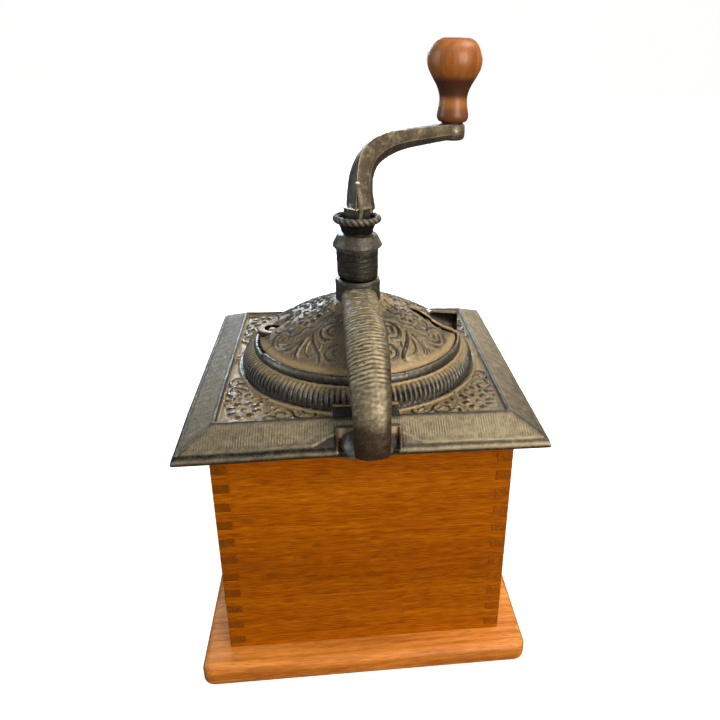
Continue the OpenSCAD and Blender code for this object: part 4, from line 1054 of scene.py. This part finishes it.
def build_arm():
    """Arm swept through four lines of its section: two upper edges, the ridge and the inner edge."""
    rows, half, thin, cut = 130, 4.2, 1.9, 0.55
    end = CRANK_REACH + 0.2
    front_edge = [(-4.9, 244.6), (-4.6, 256), (-3.2, 268), (-0.6, 277), (6.5, 283.2), (18, 286.2), (32, 287.1),
                  (60, 287.2), (end, 287.2)]
    back_edge = [(-4.8, 244.6), (-3.6, 256), (-1.4, 266), (3.6, 274), (10.4, 279.8), (20, 284), (35, 286.3),
                 (60, 286.9), (end, 287.0)]
    ridge = [(6.9, 244.6), (6.2, 257), (6.9, 266.5), (11.5, 273.5), (20, 277.8), (34, 280.2), (60, 280.9),
             (end, 281.4)]
    inner = [(12.6, 246.2), (11.0, 256), (11.6, 263), (15.4, 269.2), (24, 273.2), (38, 275.9), (62, 277.2),
             (end, 277.8)]
    corners = [(front_edge, half), (ridge, half), (inner, thin), (inner, -thin), (ridge, -half), (back_edge, -half)]
    pts = [np.column_stack([resample(line, rows), np.full(rows, b)]) for line, b in corners]
    ring = []
    for before, here, after in zip(pts[-1:] + pts, pts, pts[1:] + pts[:1]):
        to_before, to_after = unit(before - here), unit(after - here)
        ring += [here + cut * to_before, here + 0.28 * cut * (to_before + to_after), here + cut * to_after]
    ring = np.stack(ring, 1)
    extra = []
    for f in np.linspace(0.12, 1, 10):
        # The last rows round off the end round the knob's spindle.
        angle = f * math.pi / 2
        shrink = math.cos(angle) * 0.62 + 0.38
        row = ring[-1].copy()
        row[:, 0] += 7.4 * math.sin(angle)
        row[:, 2] *= math.cos(angle) ** 0.8 * 0.8 + 0.2
        row[:, 1] = np.where(row[:, 1] < 281, 281 + (row[:, 1] - 281) * shrink, row[:, 1] - 0.25 * f**4)
        extra.append(row)
    ring = np.concatenate([ring, np.array(extra)])
    s, z, b = ring[..., 0], ring[..., 1], ring[..., 2]
    lump = 0.06 * wobble(s, b, z, 2.6, 70) + 0.1 * wobble(s, b, z, 5, 71) + 0.14 * wobble(s, b, z, 17, 72)
    verts = in_crank_plane(s + lump * 0.4, b + lump * np.sign(b) * 0.6, z + lump * 0.5)
    # Painted light and shade: the rounded edges of the arm are bright as highlights and several of its faces dark as
    # shade.
    shade = [-1.1, 0.75, 0.0, -0.1, 0.8, -0.9, -1.0, 0.1, -1.0, -1.0, 0.1, -1.0, -0.6, 0.8, 0, 0, 0.6, -1.1]
    faces = tube_faces(*ring.shape[:2])
    piece("crank_bent_arm", verts, faces, crank_iron, "crank_arm", sharp=28, relief=[shade] * len(ring))
    boss = [(3.05, 277.5), (5.6, 277.5), (6.9, 278.1), (7.7, 279.6), (7.95, 282), (7.95, 285.4), (7.7, 286.6),
            (7.1, 287.15), (3.05, 287.2)]
    build_turned("crank_boss", boss, 48, crank_iron, "crank_arm",
                 lambda r, z, a: np.where(r > 4, 0.12 * wobble(*polar(r, a), z, 7, 73), 0),
                 centre=KNOB, shade=([0, 3, 6, 8], [-0.7, -0.4, -0.1, -0.5]))


def bevelled_mesh(bm, name, bevel, segments, **options):
    bmesh.ops.bevel(bm, geom=bm.edges[:], offset=bevel * MM, segments=segments, affect="EDGES", **options)
    mesh = bpy.data.meshes.new(name)
    bm.to_mesh(mesh)
    bm.free()
    return mesh


def crank_block(name, low, high, bevel, material):
    """Box with rounded edges, turned with the crank."""
    low, high = np.array(low), np.array(high)
    bm = bmesh.new()
    bmesh.ops.create_cube(bm, size=1)
    for v in bm.verts:
        v.co = Vector(((low + high) / 2 + np.array(v.co) * (high - low)) * MM)
    bmesh.ops.rotate(bm, verts=bm.verts, cent=(0, 0, 0), matrix=Matrix.Rotation(CRANK_ANGLE, 3, "Z"))
    mesh = bevelled_mesh(bm, name, bevel, 2, profile=0.5)
    mesh.shade_smooth()
    add_piece(mesh, material, "crank_arm", sharp=35)


def build_catch():
    """Bowed spring leaf on the crank's root that keeps the nut from turning back."""
    rows = 30
    bow = [(3.9, 262.6), (4.7, 261.6), (5.2, 258.6), (6.2, 254.4), (6.9, 250), (6.7, 246), (6.2, 243.0)]
    line = resample(bow, rows)
    out = normals(line)
    half = 1.35 - 0.25 * np.linspace(0, 1, rows) ** 3
    verts = []
    for w, side in [(-1, -1), (-0.8, 1), (0.8, 1), (1, -1)]:
        edge = line + out * 0.38 * side
        verts.append(in_crank_plane(-3.6 + w * half, edge[:, 0], edge[:, 1]))
    piece("catch_leaf", np.stack(verts, 1), tube_faces(rows, 4), leaf_steel, "nut_catch", sharp=30)


build_arm()
build_catch()
crank_block("root_ledge", (-6.2, -6.0, 247.6), (6.4, 6.0, 248.7), 0.45, leaf_steel)
crank_block("crank_root", (-5.4, -5.4, 239.8), (5.4, 5.4, 248.2), 0.8, neck_iron)

# ---------------------------------------------------------------- knob
knob_top = knob_high[2]
knob_line = resample([(6.2, 288.0), (8.2, 288.4), (9.3, 289.9), (9.6, 292.2), (8.9, 296.2), (8.35, 300), (8.7, 304),
                      (10.4, 308.6), (13.1, 313.2), (15.5, 317.8), (16.35, 322), (16.0, 326.4), (14.5, 330.4),
                      (11.6, 333.4), (9.0, 334.6), (7.6, knob_top)], 64)
knob_profile = [*knob_line.tolist(), (2.9, knob_top - 0.1), (2.9, 288.0)]
build_turned("knob_turned", knob_profile, 96, knob_wood, "crank_knob", centre=KNOB)

# ---------------------------------------------------------------- wooden case
FINGER, STUB = 5.72, 2.74


def board_outline(half, bottom, gaps_low, gaps_high):
    """Outline with notches of one board thickness at either end. gaps: lists of (z low, z high)."""
    right, left = [], []
    for gaps, side, edge, way in ((gaps_high, right, half, -1), (gaps_low, left, -half, 1)):
        z = bottom
        for g0, g1 in sorted(gaps):
            if g0 > z + 0.01:
                side += [(edge, z), (edge, g0)]
            side += [(edge + way * BOARD, g0), (edge + way * BOARD, g1)]
            z = g1
        if z < BOX_TOP - 0.01:
            side += [(edge, z), (edge, BOX_TOP)]
    out = []
    for p in right + left[::-1]:
        if not out or math.dist(out[-1], p) > 1e-6:
            out.append(p)
    return out


def board(name, outline, along, near, far, material, node, bevel=0.28):
    """Board from an outline in its own face; along is the axis of its length, 0 or 1."""
    bm = bmesh.new()
    lower, upper = (
        [bm.verts.new(Vector((u, w, v) if along == 0 else (w, u, v)) * MM) for u, v in outline] for w in (near, far))
    bm.faces.new(lower)
    bm.faces.new(upper[::-1])
    n = len(outline)
    for k in range(n):
        bm.faces.new([lower[(k + 1) % n], lower[k], upper[k], upper[(k + 1) % n]])
    bmesh.ops.recalc_face_normals(bm, faces=bm.faces)
    add_piece(bevelled_mesh(bm, name, bevel, 1, clamp_overlap=True), material, node)


def finger_gaps(count, first):
    return [(BOX_TOP - (k + 1) * FINGER, BOX_TOP - k * FINGER) for k in range(first, 2 * count - 1 + first, 2)]


def build_boards():
    front, drawer = finger_gaps(12, 0), finger_gaps(6, 0)
    front_outline = board_outline(BOX, BASE_H, front, front)
    drawer_side_outline = board_outline(BOX, box_mm("drawer_side_board")[0][2], drawer, drawer)
    side_outline = board_outline(BOX, BASE_H, finger_gaps(11, 1) + [(BASE_H, BASE_H + STUB)], finger_gaps(6, 1))
    board("box_front", front_outline, 0, -BOX, -BOX + BOARD, box_wood_x, "front_board")
    board("box_drawer_side", drawer_side_outline, 0, BOX - BOARD, BOX, box_wood_x, "drawer_side_board")
    board("box_left", side_outline, 1, -BOX, -BOX + BOARD, box_wood_y, "left_board")
    board("box_right", side_outline, 1, BOX - BOARD, BOX, box_wood_y, "right_board")
    (x0, y0, z0), (x1, y1, z1) = drawer_low, drawer_high
    board("drawer_face", [(x0, z0), (x1, z0), (x1, z1), (x0, z1)], 0, y0, y1, box_wood_x, "drawer_front", bevel=0.6)


def build_base():
    """Base with rounded corners and a moulded edge, fuller above than below."""
    half, edge, corner = base_high[0], 4.6, 7.0
    outline = []
    for q in range(4):
        cx, cy = (half - corner) * (1 if q in (0, 3) else -1), (half - corner) * (1 if q < 2 else -1)
        for t in np.linspace(q * math.pi / 2, (q + 1) * math.pi / 2, 16):
            outline.append((cx, cy, math.cos(t), math.sin(t)))
    cx, cy, c, s = np.array(outline).T
    section = [(t, 0.75 * edge * (1 + math.sin(t))) for t in np.linspace(-math.pi / 2, 0, 9)]
    section += [(t, BASE_H - edge + edge * math.sin(t)) for t in np.linspace(0, math.pi / 2, 11)]
    rows = []
    for t, z in section:
        r = corner - edge * (1 - math.cos(t))
        rows.append(np.column_stack([cx + r * c, cy + r * s, np.full(len(c), z)]))
    piece("base_moulded", rows, tube_faces(len(rows), len(c)), base_wood, "base_board", sharp=60)


def build_pull():
    rows, count = 40, 64
    y0, y1 = pull_low[1], pull_high[1]
    depth = y1 - y0
    line = resample([(6.2, 0), (6.4, 1.2), (4.6, 3.6), (4.4, 6.2), (7.2, 9.4), (9.4, 12.2), (9.3, 14.4),
                     (7.4, depth - 0.6), (4, depth)], rows)
    cx, cz = (pull_low[0] + pull_high[0]) / 2, (pull_low[2] + pull_high[2]) / 2
    r, a = line[:, :1], round_turn(count)
    verts = np.stack([cx + r * np.cos(a), np.broadcast_to(y0 + line[:, 1:], (rows, count)), cz + r * np.sin(a)], -1)
    piece("drawer_pull", verts, tube_faces(rows, count, flip=True), knob_wood, "drawer_knob", sharp=50)


build_boards()
build_base()
build_pull()

# ---------------------------------------------------------------- CAD nodes that stay
KEPT = {
    steel: "base_screws plate_screws handle_screw hopper_screws burr_screws bridge_screws thrust_washer main_shaft "
           "burr_pin crank_pin knob_spindle drawer_knob_screw drawer_brads",
    # knob_washer gets this dark iron as painted shade between the knob and the arm.
    hidden_and_shaded_iron: "knob_washer hopper_bowl outer_burr inner_burr lower_bridge",
    bare_wood: "corner_blocks drawer_left_side drawer_right_side drawer_back drawer_bottom",
}
for material, names in KEPT.items():
    for name in names.split():
        mesh = frame["nodes"][name].data
        mesh.materials.clear()
        mesh.materials.append(material)

# ---------------------------------------------------------------- stage, camera and light
scene = bpy.context.scene
scene.view_settings.view_transform = "Standard"
scene.view_settings.look = "None"
world = bpy.data.worlds.new("studio")
scene.world = world
world.use_nodes = True
sky, links = world.node_tree.nodes, world.node_tree.links
heading = sky.new("ShaderNodeTexCoord")
split = sky.new("ShaderNodeSeparateXYZ")
fade = sky.new("ShaderNodeValToRGB")
links.new(heading.outputs["Generated"], split.inputs[0])
links.new(split.outputs[2], fade.inputs[0])
links.new(fade.outputs[0], sky["Background"].inputs[0])
for stop, at, colour in zip(fade.color_ramp.elements, (0.0, 0.3), ((0.11, 0.1, 0.085, 1), (0.3, 0.3, 0.3, 1))):
    stop.position, stop.color = at, colour


def stage_sheet(name, turn=None):
    """Plain pale sheet that glows softly: the floor, or a wall 5 m away on the side given by turn."""
    half_m, place = 5, Matrix()
    if turn is not None:
        upright = Matrix.Translation((0, half_m, half_m)) @ Matrix.Rotation(math.pi / 2, 4, "X")
        place = Matrix.Rotation(turn, 4, "Z") @ upright
    bm = bmesh.new()
    bmesh.ops.create_grid(bm, x_segments=4, y_segments=4, size=half_m, matrix=place)
    mesh = bpy.data.meshes.new(name)
    bm.to_mesh(mesh)
    bm.free()
    obj = bpy.data.objects.new(name, mesh)
    scene.collection.objects.link(obj)
    m = Shader(name + "_paper")
    m.surface.inputs["Emission Color"].default_value = (1, 1, 1, 1)
    m.surface.inputs["Emission Strength"].default_value = 0.9
    tone = m.between(m.noise(m.at, 3, 2), 0.3, 0.7, 0.0, 1.0)
    mesh.materials.append(m.finish(m.mix(tone, (0.4, 0.4, 0.4), (0.44, 0.44, 0.44)), 0.8))
    obj.visible_diffuse = obj.visible_glossy = False
    obj.visible_shadow = turn is None


stage_sheet("floor")
for k, side in enumerate(("back", "left", "front", "right")):
    stage_sheet("wall_" + side, k * math.pi / 2)


def area_light(name, place_m, size_m, power, colour):
    data = bpy.data.lights.new(name, "AREA")
    data.shape = "RECTANGLE"
    data.size, data.size_y = size_m
    data.energy = power
    data.color = colour
    obj = bpy.data.objects.new(name, data)
    scene.collection.objects.link(obj)
    obj.location = place_m
    obj.rotation_mode = "QUATERNION"
    obj.rotation_quaternion = (Vector((0, 0, 0.17)) - Vector(place_m)).to_track_quat("-Z", "Y")


area_light("cool_window", (-0.26, 2.09, 0.79), (1.0, 0.45), 39, (0.72, 0.86, 1.0))
area_light("cool_side", (-1.2, 0.1, 0.5), (0.3, 0.8), 5, (0.8, 0.9, 1.0))
area_light("warm_back", (0.95, 1.9, 0.55), (0.7, 0.35), 9, (1.0, 0.82, 0.54))
area_light("warm_top", (0.7, 0.0, 1.4), (0.6, 0.6), 15, (1.0, 0.9, 0.72))
area_light("soft_strip", (0.15, -0.62, 1.35), (1.6, 0.07), 4, (1.0, 0.95, 0.88))
area_light("warm_front", (0.8, -1.3, 0.55), (0.9, 0.9), 27, (1.0, 0.9, 0.76))

CAM_AZ, CAM_EL, CAM_ROLL = -0.1311, 0.4159, -0.0262
# The camera's distance and aim are in base widths.
CAM_DISTANCE, CAM_AIM_X, CAM_AIM_Z = 2.2077, 0.1961, 0.8905
BASE_W_m = 0.184
camera = bpy.data.cameras.new("camera")
camera.sensor_width = 36
camera.lens = 33.592
camera.shift_x, camera.shift_y = -0.0815, -0.0191
camera.clip_start = 0.01
cam = bpy.data.objects.new("camera", camera)
scene.collection.objects.link(cam)
back = Vector((math.sin(CAM_AZ) * math.cos(CAM_EL), -math.cos(CAM_AZ) * math.cos(CAM_EL), math.sin(CAM_EL)))
right = (-back).cross(Vector((0, 0, 1))).normalized()
up = right.cross(-back)
c, s = math.cos(CAM_ROLL), math.sin(CAM_ROLL)
rotation = Matrix((c * right - s * up, s * right + c * up, back)).transposed()
eye = (Vector((CAM_AIM_X, 0, CAM_AIM_Z)) + back * CAM_DISTANCE) * BASE_W_m
cam.matrix_world = Matrix.Translation(eye) @ rotation.to_4x4()
scene.camera = cam
